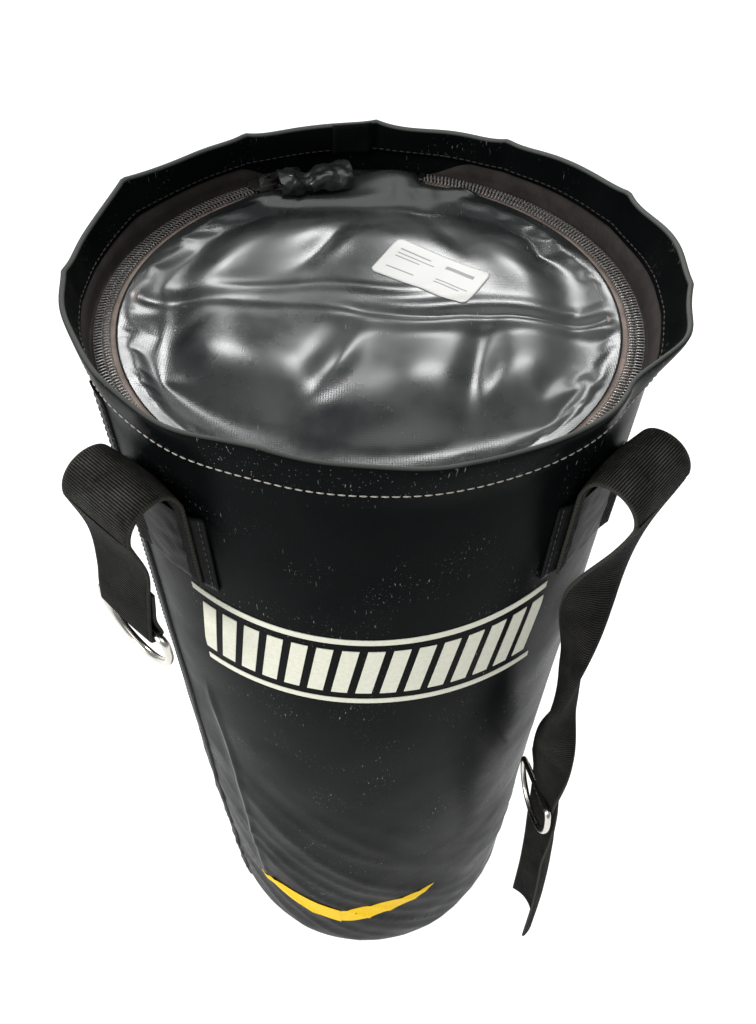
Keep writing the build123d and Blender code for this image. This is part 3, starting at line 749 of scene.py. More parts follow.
def frame_at(point, along, outward):
    """A matrix at a point, with X along a direction and Z outwards."""
    x = along.normalized()
    y = outward.cross(x).normalized()
    z = x.cross(y)
    return Matrix((x, y, z)).transposed().to_4x4() if point is None else (
        Matrix.Translation(point) @ Matrix((x, y, z)).transposed().to_4x4()
    )


def stitch_run(spots, body, name, finish, length=STITCH, thickness=THREAD, follow=None):
    """Stitches between neighbouring spots of a closed or open run of (point, outward) pairs."""
    places = [
        frame_at((a + b) / 2, b - a, out) for (a, out), (b, _) in zip(spots, spots[1:])
        if (b - a).length < 2 * STITCH_PITCH
    ]
    return finish_piece(name, joined_copies(stitch_shape(length, thickness), places), finish, body)


def ring_of_stitches(name, z, out, finish):
    """A row of stitches round the whole rim."""
    count = round(2 * math.pi * RADIUS / STITCH_PITCH)
    spots = []
    for k in range(count + 1):
        azimuth = 2 * math.pi * k / count
        spots.append((follow_wall(polar(RADIUS + out, azimuth, z)), polar(1, azimuth, 0)))
    return stitch_run(spots, "root", name, finish)


ring_of_stitches("rim_stitches", HEIGHT - HEM_DEPTH + 2.2 * MM, 0.1 * MM, pale_thread)
ring_of_stitches("rim_stitches_inside", HEIGHT - HEM_DEPTH + 2.2 * MM, -2 * FOLD_RADIUS - 0.1 * MM, dark_thread)

seam_spots = []
for side in (-1, 1):
    for k in range(155):
        z = BASE_ROUND + 4 * MM + k * STITCH_PITCH
        azimuth = SEAM_AZIMUTH + side * 4.6 * MM / RADIUS
        seam_spots.append((on_wall(azimuth, z, 1.6 * MM), polar(1, azimuth, 0)))
stitch_run(seam_spots, "root", "seam_stitches", dark_thread, thickness=0.3 * MM)

patch_spots = []
for strap in STRAPS:
    middle = strap_azimuth(strap)
    outline = [(-0.46, t / 12) for t in range(12, 0, -1)] + [(s / 12 - 0.46, 0.05) for s in range(0, 12)]
    outline += [(0.46, t / 12) for t in range(1, 13)]
    for s, t in outline:
        azimuth = middle + s * PATCH_WIDTH / RADIUS
        z = PATCH_TOP - PATCH_HEIGHT * (1 - max(0.05, min(t, 0.97)))
        patch_spots.append((on_wall(azimuth, z, patch_lift(s, t) + 0.1 * MM), polar(1, azimuth, 0)))
stitch_run(patch_spots, "root", "patch_stitches", dark_thread)

# %% [markdown]
# ## Prints
#
# A screen print is a thin film of ink. As a thin sheet laid on the wall it stays sharp at any distance.
# The front has an arched band of slanted bars between two lines, and a chevron near the foot.

# %% Printed bands
INK = 0.45 * MM
BAND_LEFT, BAND_RIGHT = math.radians(-128.5), math.radians(-50.5)


def band_edge(share, upper):
    """Height of the arched band's edges, from its left end at 0 to its right end at 1."""
    arch = (2 * share - 1) ** 2
    if upper:
        return HEIGHT - (131 - 6 * arch) * MM
    return HEIGHT - (197 + 5 * arch) * MM


def ink_sheet(corners, columns, rows):
    """A printed area. corners(s, t) gives azimuth and height, with s and t from 0 to 1."""
    def place(s, t):
        azimuth, z = corners(s + 0.5, t)
        return on_wall(azimuth, z, INK)
    return grid(columns, rows, place, lambda s, t: (s, t))


def band_between(low_share, high_share):
    """The strip of the band between two shares of its height."""
    def corners(s, t):
        low, high = band_edge(s, False), band_edge(s, True)
        return BAND_LEFT + (BAND_RIGHT - BAND_LEFT) * s, low + (high - low) * (
            low_share + (high_share - low_share) * t
        )
    return corners


def slanted_bar(index, count):
    """One bar of the band, leaning to the right."""
    left, right = (index + 0.17) / count, (index + 0.83) / count

    def corners(s, t):
        share = left + (right - left) * s + 0.035 * (t - 0.5)
        share = min(max(share, 0.0), 1.0)
        low, high = band_edge(share, False), band_edge(share, True)
        return BAND_LEFT + (BAND_RIGHT - BAND_LEFT) * share, low + (high - low) * (0.17 + 0.66 * t)
    return corners


def printed(name, sheets, finish):
    """Joins printed sheets into one piece."""
    whole = bmesh.new()
    for sheet in sheets:
        part = bpy.data.meshes.new("ink")
        sheet.to_mesh(part)
        sheet.free()
        whole.from_mesh(part)
        bpy.data.meshes.remove(part)
    face_away(whole, Vector((0, 0, 0.5 * HEIGHT)))
    film = finish_piece(name, whole, finish, "root", (), 0.4 * MM, -1.0)
    for face in film.data.polygons:
        face.use_smooth = False
    return film


BARS = 15
bars = [ink_sheet(slanted_bar(k, BARS), 3, 14) for k in range(BARS)]
rules = [ink_sheet(band_between(low, high), 120, 2) for low, high in ((0.93, 1.0), (0.0, 0.07))]
printed("print_front_band", bars + rules, cream_ink)

FLASH_LEFT, FLASH_POINT, FLASH_RIGHT = (math.radians(a) for a in (-131.0, -99.0, -66.0))


def chevron_arm(tip, tip_z, spread):
    """A tapered arm from the chevron's point up to a tip."""
    def corners(s, t):
        azimuth = FLASH_POINT + (tip - FLASH_POINT) * s
        middle = 0.124 + (tip_z - 0.124) * s
        thick = spread * (0.75 + 1.1 * s) * (1 - s) ** 0.9
        return azimuth, middle + (t - 0.5) * thick
    return corners


arms = [
    ink_sheet(chevron_arm(FLASH_LEFT, 0.152, 0.050), 60, 6),
    ink_sheet(chevron_arm(FLASH_RIGHT, 0.188, 0.044), 60, 6),
]
printed("print_foot_chevron", arms, yellow_ink)

# %% [markdown]
# ## Stuffing
#
# The fill shows when the lid is folded open, so its top is lumpy shredded textile, not a flat disc.

# %% Stuffing
FILL_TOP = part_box("fibre_fill")[1].z
FILL_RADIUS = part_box("fibre_fill")[1].x
FILL_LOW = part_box("fibre_fill")[0].z


def fill_outline():
    """From the middle of the top, out, down the side and in under the bottom."""
    top = [(FILL_RADIUS * k / 28, FILL_TOP) for k in range(28)]
    side = [(FILL_RADIUS, FILL_TOP - 8 * MM), (FILL_RADIUS, 0.5 * FILL_TOP), (FILL_RADIUS, FILL_LOW + 34 * MM)]
    foot = [(FILL_RADIUS - 10 * MM, FILL_LOW + 10 * MM), (FILL_RADIUS - 34 * MM, FILL_LOW), (0, FILL_LOW)]
    return top + side + foot


fill = spun(fill_outline(), 0, 2 * math.pi, 120)
bmesh.ops.remove_doubles(fill, verts=fill.verts, dist=1e-6)
bmesh.ops.recalc_face_normals(fill, faces=fill.faces)
for vertex in fill.verts:
    if vertex.co.z > FILL_TOP - 1 * MM:
        lumps = noise.fractal(vertex.co * 55, 1.0, 2.0, 4)
        vertex.co.z += (4.0 * lumps - 3.5) * MM
stuffing = finish_piece("stuffing", fill, textile_fibre, "root", ("fibre_fill",))

# %% [markdown]
# ## The slack lid
#
# The lid is one loose disc of vinyl, sewn to the zip round its edge and to the wall at the back. Two
# things shape it: folds that it always takes, and slack that buckles. The folds are a height function,
# and a short cloth simulation with a pinned edge and a cloth that grows a little gives the buckles.

# %% Lid folds
LID_Z = TAPE_TOP + VINYL / 2
fold_joint = joints["lid_fold"]
FOLD_PLACE = Vector(fold_joint["pos_m"])
FOLD_ALONG = Vector(fold_joint["axis"]).normalized() * -1
FOLD_REAR = Vector((-FOLD_ALONG.y, FOLD_ALONG.x, 0))
GUSSET_LOW, GUSSET_HIGH = math.radians(78.5), math.radians(110.5)
BACK_FOLD_A, BACK_FOLD_B = Vector((-0.060, 0.113, 0)), Vector((0.075, 0.123, 0))


def lid_edge(azimuth):
    """The lid's outline: on the zip tape, and out to the wall between the zip's ends."""
    inside = ease(GUSSET_LOW - 0.07, GUSSET_LOW + 0.02, azimuth) * ease(GUSSET_HIGH + 0.07, GUSSET_HIGH - 0.02, azimuth)
    return LID_RADIUS + (RADIUS - VINYL - SEAT - 0.4 * MM - LID_RADIUS) * inside


def swelling(x, y, cx, cy, long, short, turn):
    """A smooth oval swelling centred at (cx, cy), turned by an angle in degrees."""
    c, s = math.cos(math.radians(turn)), math.sin(math.radians(turn))
    dx, dy = x - cx, y - cy
    return math.exp(-(((dx * c + dy * s) / long) ** 2) - (((dy * c - dx * s) / short) ** 2))


def lid_shape(x, y):
    """Height of the lid's folds over its plain disc, in metres; x and y in metres."""
    rear = (Vector((x, y, 0)) - Vector((FOLD_PLACE.x, FOLD_PLACE.y, 0))).dot(FOLD_REAR)
    rear += 3.5 * MM * math.sin(31 * x + 1.2) + 2.0 * MM * math.sin(73 * x)
    mx, my = x / MM, y / MM
    tight = 0.25 + 0.75 * ease(-0.03, 0.05, x)
    crease = tight * (2.8 * hump(rear + 7 * MM, 6 * MM) - 2.6 * hump(rear, 4 * MM) + 1.2 * hump(rear - 9 * MM, 6 * MM))
    wander = rear - 16 * MM - 10 * MM * math.sin(14 * x + 0.5)
    lip = 1.7 * hump(wander, 4.5 * MM) * ease(-0.11, -0.07, x) * ease(0.05, 0.0, x)
    bulges = (
        6.5 * swelling(mx, my, -68, 58, 46, 26, 38)
        + 5.0 * swelling(mx, my, 12, 62, 40, 22, -8)
        + 4.5 * swelling(mx, my, 84, 40, 34, 22, -42)
        + 6.0 * swelling(mx, my, -62, -48, 50, 24, -30)
        + 5.5 * swelling(mx, my, 22, -62, 30, 24, 60)
        + 5.0 * swelling(mx, my, 84, -54, 34, 22, 42)
        - 5.0 * swelling(mx, my, -18, -44, 30, 10, 66)
        - 4.0 * swelling(mx, my, 56, -46, 34, 9, 78)
        - 4.0 * swelling(mx, my, -24, 66, 34, 9, 64)
        - 3.5 * swelling(mx, my, 50, 70, 30, 9, 120)
        - 3.0 * swelling(mx, my, -100, 10, 34, 12, 12)
        + 10.0 * swelling(mx, my, 13, 131, 24, 10, 0)
        + 3.0 * swelling(mx, my, 34, 118, 10, 10, 0)
    )
    along = (BACK_FOLD_B - BACK_FOLD_A).normalized()
    behind = (Vector((x, y, 0)) - BACK_FOLD_A).dot(Vector((-along.y, along.x, 0)))
    back = 3.2 * hump(behind, 3.5 * MM) * ease(0.095, 0.06, abs(x - 0.005))
    sag = -4.0 * hump(math.hypot(x, y) - 0.112, 16 * MM)
    fade = ease(0.0, 13 * MM, lid_edge(math.atan2(y, x)) - math.hypot(x, y))
    return (crease + lip + bulges + sag) * fade * MM + back * ease(0.0, 6 * MM, 0.148 - math.hypot(x, y)) * MM


LID_GRID = 92
lid = bmesh.new()
bmesh.ops.create_grid(lid, x_segments=LID_GRID, y_segments=LID_GRID, size=1.0)
lid_map = lid.loops.layers.uv.new("cut")
edge_verts = {v.index for v in lid.verts if v.is_boundary}
for vertex in lid.verts:
    x, y = vertex.co.x, vertex.co.y
    disc = Vector((x * math.sqrt(1 - y * y / 2), y * math.sqrt(1 - x * x / 2), 0))
    azimuth = math.atan2(disc.y, disc.x)
    inner = Vector((disc.x, disc.y, 0)) * LID_RADIUS
    outer = disc * lid_edge(azimuth)
    vertex.co = inner.lerp(outer, ease(0.8, 1.0, disc.length))
for face in lid.faces:
    for loop in face.loops:
        loop[lid_map].uv = loop.vert.co.xy
for vertex in lid.verts:
    vertex.co.z = LID_Z + lid_shape(vertex.co.x, vertex.co.y)

# %% [markdown]
# The cloth solver needs a pinned group, no gravity, and stiff bending, because coated vinyl makes broad
# folds and no fine crumples. Its result is written back to the mesh, so nothing is left to simulate.

# %% Slack from a short cloth simulation
LID_SLACK = 0.006
SIM_FRAMES = 24


def settle_lid(piece, pinned):
    """Grows the cloth inside its sewn edge and keeps the buckled shape."""
    group = piece.vertex_groups.new(name="sewn")
    group.add(pinned, 1.0, "REPLACE")
    cloth = piece.modifiers.new("cloth", "CLOTH")
    cloth.settings.vertex_group_mass = "sewn"
    cloth.settings.quality = 8
    cloth.settings.mass = 0.4
    cloth.settings.tension_stiffness = 40
    cloth.settings.compression_stiffness = 40
    cloth.settings.shear_stiffness = 25
    cloth.settings.bending_stiffness = 14
    cloth.settings.air_damping = 3
    cloth.settings.shrink_min = -LID_SLACK
    cloth.settings.effector_weights.gravity = 0
    cloth.collision_settings.use_collision = False
    cloth.point_cache.frame_start = 1
    cloth.point_cache.frame_end = SIM_FRAMES
    scene = bpy.context.scene
    for step in range(1, SIM_FRAMES + 1):
        scene.frame_set(step)
    settled = piece.evaluated_get(bpy.context.evaluated_depsgraph_get()).to_mesh()
    moved = [(v.co - piece.data.vertices[v.index].co) for v in settled.vertices]
    piece.evaluated_get(bpy.context.evaluated_depsgraph_get()).to_mesh_clear()
    piece.modifiers.remove(cloth)
    piece.vertex_groups.clear()
    scene.frame_set(1)
    return moved


lid_cover = finish_piece("lid_cover", lid, lid_vinyl, None)
pinned = [
    v.index for v in lid_cover.data.vertices
    if lid_edge(math.atan2(v.co.y, v.co.x)) - math.hypot(v.co.x, v.co.y) < 5 * MM
]
BUCKLE_MOST = 4 * MM
moves = settle_lid(lid_cover, pinned)
largest = max(move.length for move in moves)
for vertex, move in zip(lid_cover.data.vertices, moves):
    if move.length > BUCKLE_MOST:
        move = move * (BUCKLE_MOST / move.length)
    vertex.co += move
print("lid buckles up to", round(largest / MM, 1), "mm")

lid_surface = BVHTree.FromPolygons(
    [v.co.copy() for v in lid_cover.data.vertices], [tuple(p.vertices) for p in lid_cover.data.polygons],
)


def lid_height(x, y):
    """Height of the lid's middle surface at a place."""
    hit = lid_surface.ray_cast(Vector((x, y, HEIGHT)), Vector((0, 0, -1)))[0]
    return hit.z if hit else LID_Z


soft = lid_cover.modifiers.new("smooth", "SUBSURF")
soft.levels = soft.render_levels = 1
skin = lid_cover.modifiers.new("thickness", "SOLIDIFY")
skin.thickness = VINYL
skin.offset = 0
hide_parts("lid_rear_panel", "lid_front_panel", "lid_hinge_gusset")
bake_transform(lid_cover)

# %% [markdown]
# ## The label and the tab on the lid
#
# The label is a thin sheet laid on the lid, so its points take the lid's own height. The tab over the
# zip's start is a scrap of vinyl that has been crushed: a folded strip with strong creases.

# %% Label and end tab
LABEL_LENGTH, LABEL_WIDTH, LABEL_CORNER = 61 * MM, 34 * MM, 4 * MM
label_low, label_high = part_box("blank_label")
label_middle = (label_low + label_high) / 2
LABEL_TURN = math.radians(-31.0)


def label_place(s, t):
    """A point of the label, with its corners drawn in to a round."""
    x, y = s * LABEL_LENGTH, (t - 0.5) * LABEL_WIDTH
    past_x = max(0.0, abs(x) - (LABEL_LENGTH / 2 - LABEL_CORNER))
    past_y = max(0.0, abs(y) - (LABEL_WIDTH / 2 - LABEL_CORNER))
    reach = math.hypot(past_x, past_y)
    if reach > 0 and min(past_x, past_y) > 0:
        most = max(past_x, past_y) / reach
        x -= math.copysign(past_x * (1 - most), x)
        y -= math.copysign(past_y * (1 - most), y)
    turned = Matrix.Rotation(LABEL_TURN, 2) @ Vector((x, y))
    px, py = label_middle.x + turned.x, label_middle.y + turned.y
    return Vector((px, py, lid_height(px, py) + VINYL / 2 + 0.25 * MM))


paper = grid(46, 28, label_place, lambda s, t: ((s + 0.5) * LABEL_LENGTH, t * LABEL_WIDTH))
face_away(paper, label_middle - Vector((0, 0, 1)))
label = finish_piece("plain_label", paper, label_paper, "root", ("blank_label",), 0.2 * MM, 0.0)

tab_low, tab_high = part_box("zip_end_tab")
tab_middle = (tab_low + tab_high) / 2
TAB_AZIMUTH = math.atan2(tab_middle.y, tab_middle.x)


def tab_place(s, t):
    """The crushed tab: an arch over the zip's start, pinched in at its middle."""
    along = (t - 0.5) * 46 * MM
    turn = s * math.radians(230)
    pinch = 1 - 0.35 * hump(t - 0.62, 0.12)
    across = 10.5 * MM * math.sin(turn) * pinch
    up = 8.0 * MM * (0.25 + math.cos(turn)) * pinch
    wrinkle = noise.noise_vector(Vector((5 * s + 3, 7 * t, 1.7))) * 2.2 * MM
    fine = noise.noise_vector(Vector((14 * s, 16 * t, 5.1))) * 0.7 * MM
    outward = polar(1, TAB_AZIMUTH, 0)
    round_bag = polar(1, TAB_AZIMUTH + math.pi / 2, 0)
    base = polar(131 * MM, TAB_AZIMUTH, TAPE_TOP + 4.2 * MM)
    point = base + outward * across + round_bag * along + Vector((0, 0, up)) + wrinkle + fine
    point.z = max(point.z, TAPE_TOP + VINYL + 0.8 * MM)
    return point


tab = grid(34, 40, tab_place, lambda s, t: (s * 40 * MM, t * 46 * MM))
face_away(tab, polar(131 * MM, TAB_AZIMUTH, TAPE_TOP))
end_tab = finish_piece("zip_tab_cloth", tab, lid_vinyl, "root", ("zip_end_tab",), 0.9 * MM, 0.0, 1)

# %% [markdown]
# ## The zip
#
# A coil zip's chain is two nylon coils whose loops hook between each other, each sewn to a woven tape.
# One loop is a small torus drawn out to a stadium. Spin with duplicates sets a whole side in one call,
# and the other side starts half a pitch later, so the loops mesh.

# %% Zip tapes
def tape_piece(name, outline, body, finish, stands_for, steps=280):
    """A spun tape that follows the wall where it climbs it."""
    shape = spun(outline, ZIP_START, ZIP_END, steps)
    wrap_uv(shape, lambda p: math.hypot(p.x, p.y) + p.z)
    for vertex in shape.verts:
        turn = math.atan2(vertex.co.y, vertex.co.x) % (2 * math.pi)
        to_end = min(abs(azimuth_gap(turn, ZIP_START)), abs(azimuth_gap(turn, ZIP_END)))
        if vertex.co.z > TAPE_TOP:
            vertex.co.z = TAPE_TOP + (vertex.co.z - TAPE_TOP) * ease(-0.02, 0.22, to_end)
        vertex.co = follow_wall(vertex.co) if vertex.co.z > COLLAR_START else vertex.co
    return finish_piece(name, shape, finish, body, stands_for, TAPE, 0.0)


flat_z = TAPE_TOP - TAPE / 2
against_wall = RADIUS - VINYL - SEAT - TAPE / 2
outer_outline = [
    (CHAIN_RADIUS + 0.7 * MM, flat_z), (CHAIN_RADIUS + 3 * MM, flat_z), (against_wall - 1.6 * MM, flat_z),
    (against_wall - 0.5 * MM, flat_z + 0.4 * MM), (against_wall, flat_z + 1.6 * MM),
    (against_wall, flat_z + 6 * MM), (against_wall, HEIGHT - HEM_DEPTH - SEAT),
]
outer_tape = tape_piece("zip_tape_wall_side", outer_outline, "root", wall_tape, ("zip_tape_outer",))

inner_outline = [(r * MM, flat_z) for r in (129.0, 131.5, 134.0, 136.5, 139.0, 142.3)]
inner_tape = tape_piece(
    "zip_tape_lid_side", inner_outline, None, lid_tape,
    ("zip_tape_inner_rear", "zip_tape_inner_front"),
)
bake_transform(inner_tape)

# %% Zip coils
LOOP_PITCH = 2.4 * MM
WIRE = 0.5 * MM


def coil_side(name, middle_radius, phase, body, stands_for):
    """One side of the chain, with its loops set by duplicating a loop round the bag."""
    count = round((ZIP_END - ZIP_START) * CHAIN_RADIUS / LOOP_PITCH)
    step = (ZIP_END - ZIP_START) / count
    half_height = (COIL_TOP - TAPE_TOP) / 2
    bend = half_height - WIRE
    loop = bmesh.new()
    bmesh.ops.create_circle(loop, segments=6, radius=WIRE)
    bmesh.ops.rotate(loop, verts=loop.verts, matrix=Matrix.Rotation(math.pi / 2, 3, "X"))
    bmesh.ops.rotate(loop, verts=loop.verts, matrix=Matrix.Rotation(math.pi / 2, 3, "Y"))
    bmesh.ops.rotate(loop, verts=loop.verts, matrix=Matrix.Rotation(math.pi / 2, 3, "Z"))
    bmesh.ops.translate(loop, verts=loop.verts, vec=(bend, 0, 0))
    bmesh.ops.rotate(loop, verts=loop.verts, matrix=Matrix.Rotation(math.radians(18), 3, "Y"))
    bmesh.ops.spin(
        loop, geom=loop.verts[:] + loop.edges[:], cent=(0, 0, 0), axis=(0, 1, 0), angle=2 * math.pi,
        steps=10, use_merge=True,
    )
    bmesh.ops.recalc_face_normals(loop, faces=loop.faces)
    for vertex in loop.verts:
        vertex.co.x += math.copysign(1.35 * MM, vertex.co.x)
        vertex.co.y += 0.16 * vertex.co.x
    place = Matrix.Rotation(ZIP_START + phase * step, 4, "Z") @ Matrix.Translation(
        (middle_radius, 0, TAPE_TOP + half_height)
    )
    bmesh.ops.transform(loop, matrix=place, verts=loop.verts)
    bmesh.ops.spin(
        loop, geom=loop.verts[:] + loop.edges[:] + loop.faces[:], cent=(0, 0, 0), axis=(0, 0, 1),
        angle=step * (count - 1), steps=count - 1, use_duplicate=True,
    )
    return finish_piece(name, loop, coil_nylon, body, stands_for)


coil_side("zip_coil_wall_side", CHAIN_RADIUS + 2.0 * MM, 0.25, "root", ("zip_coil_outer",))
inner_coil = coil_side(
    "zip_coil_lid_side", CHAIN_RADIUS - 2.0 * MM, 0.75, None, ("zip_coil_inner_rear", "zip_coil_inner_front"),
)
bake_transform(inner_coil)

# %% [markdown]
# ## Straps
#
# Webbing keeps its width and length, so each strap is a grid laid along a path and never stretched. The
# root comes out from under its patch and bends outwards and down. That bend crosses the strap's joint;
# its section eases from the wall's curve to flat, and the root rides on no body. The hanging run goes
# round the ring's bar and is sewn back.

# %% Strap helper
BEND_PLACE = {strap: Vector(joints[f"strap_lift_{strap}"]["pos_m"]) for strap in STRAPS}
BAR_PLACE = {strap: Vector(joints[f"ring_swing_{strap}"]["pos_m"]) for strap in STRAPS}
ROOT_RADIUS = RADIUS + SEAT + WEBBING / 2
ROOT_LENGTH = 60 * MM


def lay_webbing(name, path, length, across_at, section, body, stands_for=(), cut=None):
    """Webbing along a path. section(s, t) gives its place across and off the path, in metres."""
    rows = len(path) - 1

    def station(t):
        k = min(int(t * rows), rows - 1)
        return path[k].lerp(path[k + 1], t * rows - k), (path[k + 1] - path[k]).normalized()

    def place(s, t):
        if cut:
            t = t * cut(s)
        point, along = station(min(t, 1.0))
        before, after = station(max(t - 0.5 / rows, 0.0))[1], station(min(t + 0.5 / rows, 1.0))[1]
        along = (before + after).normalized()
        across = across_at(t)
        across = (across - along * across.dot(along)).normalized()
        off = along.cross(across)
        x, y = section(s, t)
        return point + across * x + off * y

    shape = grid(18, rows, place, lambda s, t: (s * WEBBING_WIDTH, t * length))
    return finish_piece(name, shape, strap_webbing, body, stands_for, 0.9 * WEBBING, 0.0)


def flat_section(s, t):
    """Webbing lying nearly flat, a little crowned."""
    return s * WEBBING_WIDTH * 0.995, 0.5 * MM * (1 - (2 * s) ** 2)


# %% Strap roots and bends
for strap in STRAPS:
    azimuth = strap_azimuth(strap)
    bend = BEND_PLACE[strap]
    bend_radius = math.hypot(bend.x, bend.y) - ROOT_RADIUS
    bend_middle = math.hypot(bend.x, bend.y)
    outline = [polar(ROOT_RADIUS, azimuth, bend.z - ROOT_LENGTH + ROOT_LENGTH * k / 20) for k in range(20)]
    for k in range(33):
        turn = math.pi * k / 32
        outline.append(polar(bend_middle - bend_radius * math.cos(turn), azimuth, bend.z + bend_radius * math.sin(turn)))
    root_length = ROOT_LENGTH + math.pi * bend_radius
    sideways = polar(1, azimuth + math.pi / 2, 0)

    def root_section(s, t, azimuth=azimuth):
        x = s * WEBBING_WIDTH * 0.99
        on_bag = ease(0.62, 0.45, t)
        return x, -on_bag * (ROOT_RADIUS - math.sqrt(ROOT_RADIUS ** 2 - x * x))

    root = lay_webbing(
        f"webbing_root_{strap}", outline, root_length, lambda t, d=sideways: d, root_section, None,
        (f"strap_root_{strap}", f"strap_bend_{strap}"),
    )
    polar(ROOT_RADIUS + 3 * MM, azimuth, bend.z)
    polar(bend_middle + bend_radius - 6 * MM, azimuth, bend.z)
    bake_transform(root)

# %% Short straps
EYE = 3.75 * MM


def eye_path(top, bar, outward, lead):
    """Down from top, round a bar and back up behind, in the plane of outward and the drop."""
    drop = (bar - top).normalized()
    side = (outward - drop * outward.dot(drop)).normalized()
    spots = [top, top.lerp(bar, 0.35) - side * 4.5 * MM, bar - drop * 26 * MM - side * 1.5 * MM]
    spots += [bar - drop * 11 * MM + side * 1.7 * MM]
    for k in range(9):
        turn = math.radians(20 + 140 * k / 8)
        spots.append(bar + side * EYE * math.cos(turn) + drop * EYE * math.sin(turn))
    spots += [bar - drop * 11 * MM - side * 2.0 * MM, bar - drop * 20 * MM - side * 3.4 * MM]
    spots += [bar - drop * lead - side * 5.0 * MM]
    return spots


def short_section(s, t):
    """Drawn together a little at the ring, where the webbing cups."""
    drawn = 1 - 0.17 * ease(0.05, 0.45, t)
    return s * WEBBING_WIDTH * drawn, 0.5 * MM * math.cos(math.pi * s)


for strap in STRAPS:
    if strap == "front_right":
        continue
    azimuth = strap_azimuth(strap)
    bend, bar = BEND_PLACE[strap], BAR_PLACE[strap]
    outward = polar(1, azimuth, 0)
    top = polar(math.hypot(bar.x, bar.y), azimuth, bend.z)
    path, length = smooth_path(eye_path(top, bar, outward, 30 * MM), 60)
    hang = lay_webbing(
        f"webbing_hang_{strap}", path, length, lambda t, d=polar(1, azimuth + math.pi / 2, 0): d,
        short_section, f"strap_{strap}", (f"strap_web_{strap}",),
    )

# %% [markdown]
# The long strap is folded along its length, and turns as it comes down to its ring. Its section is a V:
# two arms of half the webbing's width. The V opens flat at the top, closes at the waist and opens again
# at the ring, and its middle line turns steadily, so the webbing never stretches.

# %% Long strap
LONG = "front_right"
WAIST_SHARE = 0.46
WAIST_PLACE = polar(180 * MM, math.radians(-48.0), HEIGHT - 195 * MM)
long_azimuth = strap_azimuth(LONG)
bar = BAR_PLACE[LONG]
bar_axis = Vector(joints[f"ring_swing_{LONG}"]["axis"]).normalized() * -1
bar_level = Vector((bar_axis.x, bar_axis.y, 0)).normalized()
bar_normal = Vector((0, 0, 1)).cross(bar_level).normalized()
long_top = polar(math.hypot(*BEND_PLACE[LONG].xy) + 16 * MM, long_azimuth, BEND_PLACE[LONG].z)
FOLD_TURN = math.radians(-128.5)


def opening(t):
    """Half the V's angle, from flat at 90 degrees to shut."""
    shut = math.radians(11)
    if t < WAIST_SHARE:
        return shut + (math.radians(90) - shut) * ease(WAIST_SHARE, 0.02, t)
    return shut + (math.radians(78) - shut) * ease(0.62, 0.97, t)


def v_axes(t):
    """The V's own directions: along its fold line's side, and across its arms."""
    heading = long_azimuth + FOLD_TURN * ease(0.0, 1.0, t)
    return polar(1, heading, 0), polar(1, heading + math.pi / 2, 0)


def v_point(s, t):
    """Place of the webbing in the V's directions: forwards along the bisector, and sideways."""
    half, lean = abs(s) * WEBBING_WIDTH, opening(t)
    rounded = 3.0 * MM
    forward = (0.25 * WEBBING_WIDTH - math.sqrt(half * half + rounded * rounded) + rounded) * math.cos(lean)
    side = math.copysign(half * math.sin(lean) + 1.4 * MM * math.cos(lean) * min(1, half / rounded), s)
    return forward, side


def v_section(s, t):
    forward, side = v_point(s, t)
    return side, forward


long_line, long_length = smooth_path(
    [long_top, long_top.lerp(WAIST_PLACE, 0.40) - polar(7.0 * MM, long_azimuth, 0), WAIST_PLACE,
     WAIST_PLACE.lerp(bar, 0.55) + polar(1.0 * MM, long_azimuth, 0), bar + bar_normal * 2.6 * MM + Vector((0, 0, 5 * MM))], 120,
)
long_web = lay_webbing(
    "webbing_hang_front_right", long_line, long_length, lambda t: v_axes(t)[1], v_section, "strap_front_right",
    ("strap_web_front_right",),
)

# %% [markdown]
# The loose end comes off the ring's bar and hangs. It is curled like a gutter along its length, and its
# cut end is slanted.

# %% Loose end of the long strap
TAIL_MID = polar(203 * MM, math.radians(-46.0), HEIGHT - 418 * MM)
TAIL_END = polar(219 * MM, math.radians(-46.0), HEIGHT - 602 * MM)
bar_drop = bar_normal.cross(bar_axis).normalized()
if bar_drop.z > 0:
    bar_drop = bar_drop * -1


def gutter_section(s, t):
    """An arc across the webbing, so that a 50 mm width spans about 38 mm."""
    bent = math.radians(20 + 120 * ease(0.0, 0.35, t))
    radius = WEBBING_WIDTH / bent
    return radius * math.sin(s * bent), radius * (1 - math.cos(s * bent)) - 4 * MM


def slanted_cut(s):
    """The share of the length that is left at s across: a point on one side and a hollow cut."""
    return 0.93 + 0.07 * (s + 0.5) ** 0.7


tail_start = bar + bar_normal * 5.9 * MM - bar_drop * 8 * MM
tail_line, tail_length = smooth_path(
    [tail_start, bar + bar_normal * 6.4 * MM + bar_drop * 4 * MM, TAIL_MID,
     TAIL_MID.lerp(TAIL_END, 0.5) + polar(2 * MM, long_azimuth, 0), TAIL_END - Vector((0, 0, 4 * MM))], 80,
)
tail = lay_webbing(
    "webbing_tail_front_right", tail_line, tail_length,
    lambda t: bar_axis.lerp(bar_level, ease(0.0, 0.4, t)), gutter_section, "strap_front_right",
    ("strap_tail_front_right",), slanted_cut,
)

# %% [markdown]
# ## Floor, light and camera
#
# A pale floor and broad lights keep the background plain. The vinyl is nearly black, so what shapes it
# is what it mirrors: two soft panels behind the bag lie in the lid's reflection, and one stands at the
# left. The camera looks down at the bag from in front, at the height where the lid's zip is all in view.

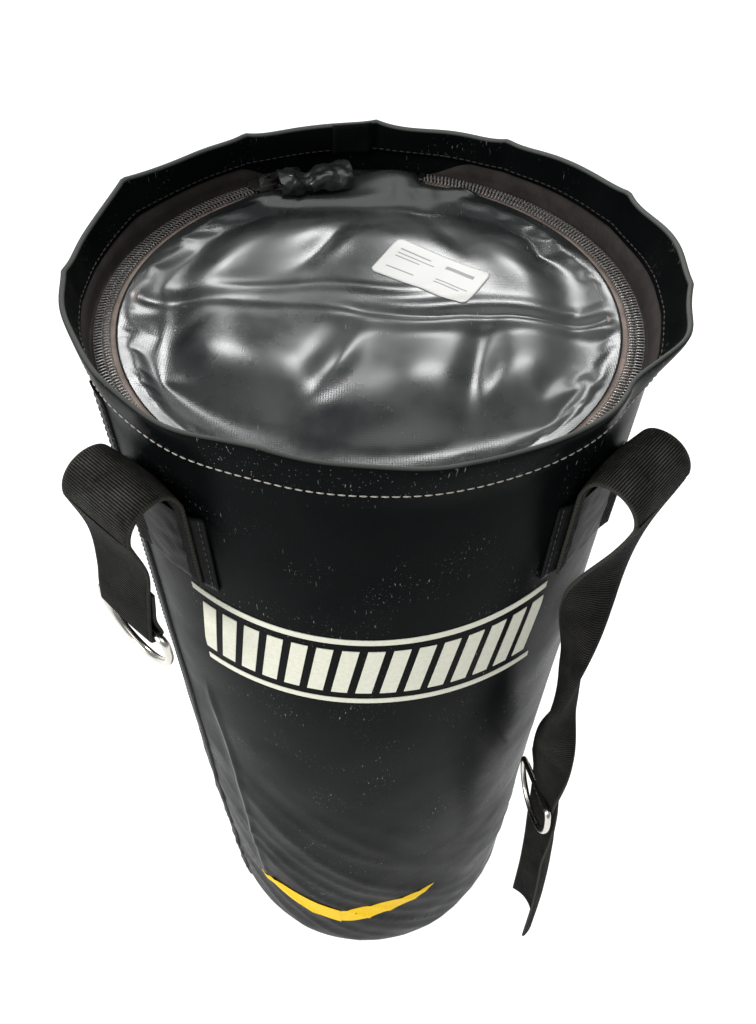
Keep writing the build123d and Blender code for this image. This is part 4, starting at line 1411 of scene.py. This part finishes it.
# %% Floor and world
floor = bmesh.new()
bmesh.ops.create_grid(floor, x_segments=1, y_segments=1, size=6.0)
floor_mesh = bpy.data.meshes.new("floor")
bmesh.ops.translate(floor, verts=floor.verts, vec=(0, 0, -0.4 * MM))
floor.to_mesh(floor_mesh)
floor.free()
floor_object = bpy.data.objects.new("floor", floor_mesh)
bpy.context.scene.collection.objects.link(floor_object)
pale, _ = new_finish("pale_floor")
floor_mesh.materials.append(shade(pale, {
    "Base Color": srgb("#9A9A9A"), "Roughness": 0.9, "Specular IOR Level": 0.1,
    "Emission Color": srgb("#FFFFFF"), "Emission Strength": 0.97,
}))

world = bpy.data.worlds.new("studio")
world.use_nodes = True
world.node_tree.nodes["Background"].inputs["Color"].default_value = (0.90, 0.96, 1.0, 1)
world.node_tree.nodes["Background"].inputs["Strength"].default_value = 0.30
bpy.context.scene.world = world
bpy.context.scene.view_settings.view_transform = "Standard"


def panel(name, place, target, width, height, watts):
    """A soft rectangular light that looks at a target."""
    light = bpy.data.lights.new(name, "AREA")
    light.shape = "RECTANGLE"
    light.size, light.size_y = width, height
    light.energy = watts
    lamp = bpy.data.objects.new(name, light)
    lamp.location = place
    lamp.rotation_euler = (Vector(target) - Vector(place)).to_track_quat("-Z", "Y").to_euler()
    bpy.context.scene.collection.objects.link(lamp)


LID_MIDDLE = (0.0, 0.0, HEIGHT)
panel("overhead", (0.0, -0.6, 3.0), (0, 0, 0), 2.2, 2.2, 30)
panel("back_left", (-0.75, 1.7, 2.15), LID_MIDDLE, 0.55, 0.5, 20)
panel("back_right", (0.45, 1.8, 2.2), LID_MIDDLE, 0.7, 0.5, 24)
panel("left", (-1.9, -0.9, 1.3), (0, 0, 0.5), 0.7, 1.2, 30)

# %% Camera
camera = bpy.data.cameras.new("camera")
camera.sensor_fit = "VERTICAL"
camera.sensor_height = 36.0
camera.lens = 29.39
camera_object = bpy.data.objects.new("camera", camera)
bpy.context.scene.collection.objects.link(camera_object)
bpy.context.scene.camera = camera_object
yaw, pitch, roll = math.radians(0.98), math.radians(49.58), 0.0203
ahead = Vector((
    math.sin(yaw) * math.cos(pitch), math.cos(yaw) * math.cos(pitch), -math.sin(pitch),
))
right = Vector((math.cos(yaw), -math.sin(yaw), 0))
up = right.cross(ahead)
tilted_right = (right + up * roll).normalized()
tilted_up = (up - right * roll).normalized()
camera_object.matrix_world = Matrix.Translation((0, -0.3821, 1.0020)) @ Matrix(
    (tilted_right, tilted_up, -ahead)
).transposed().to_4x4()
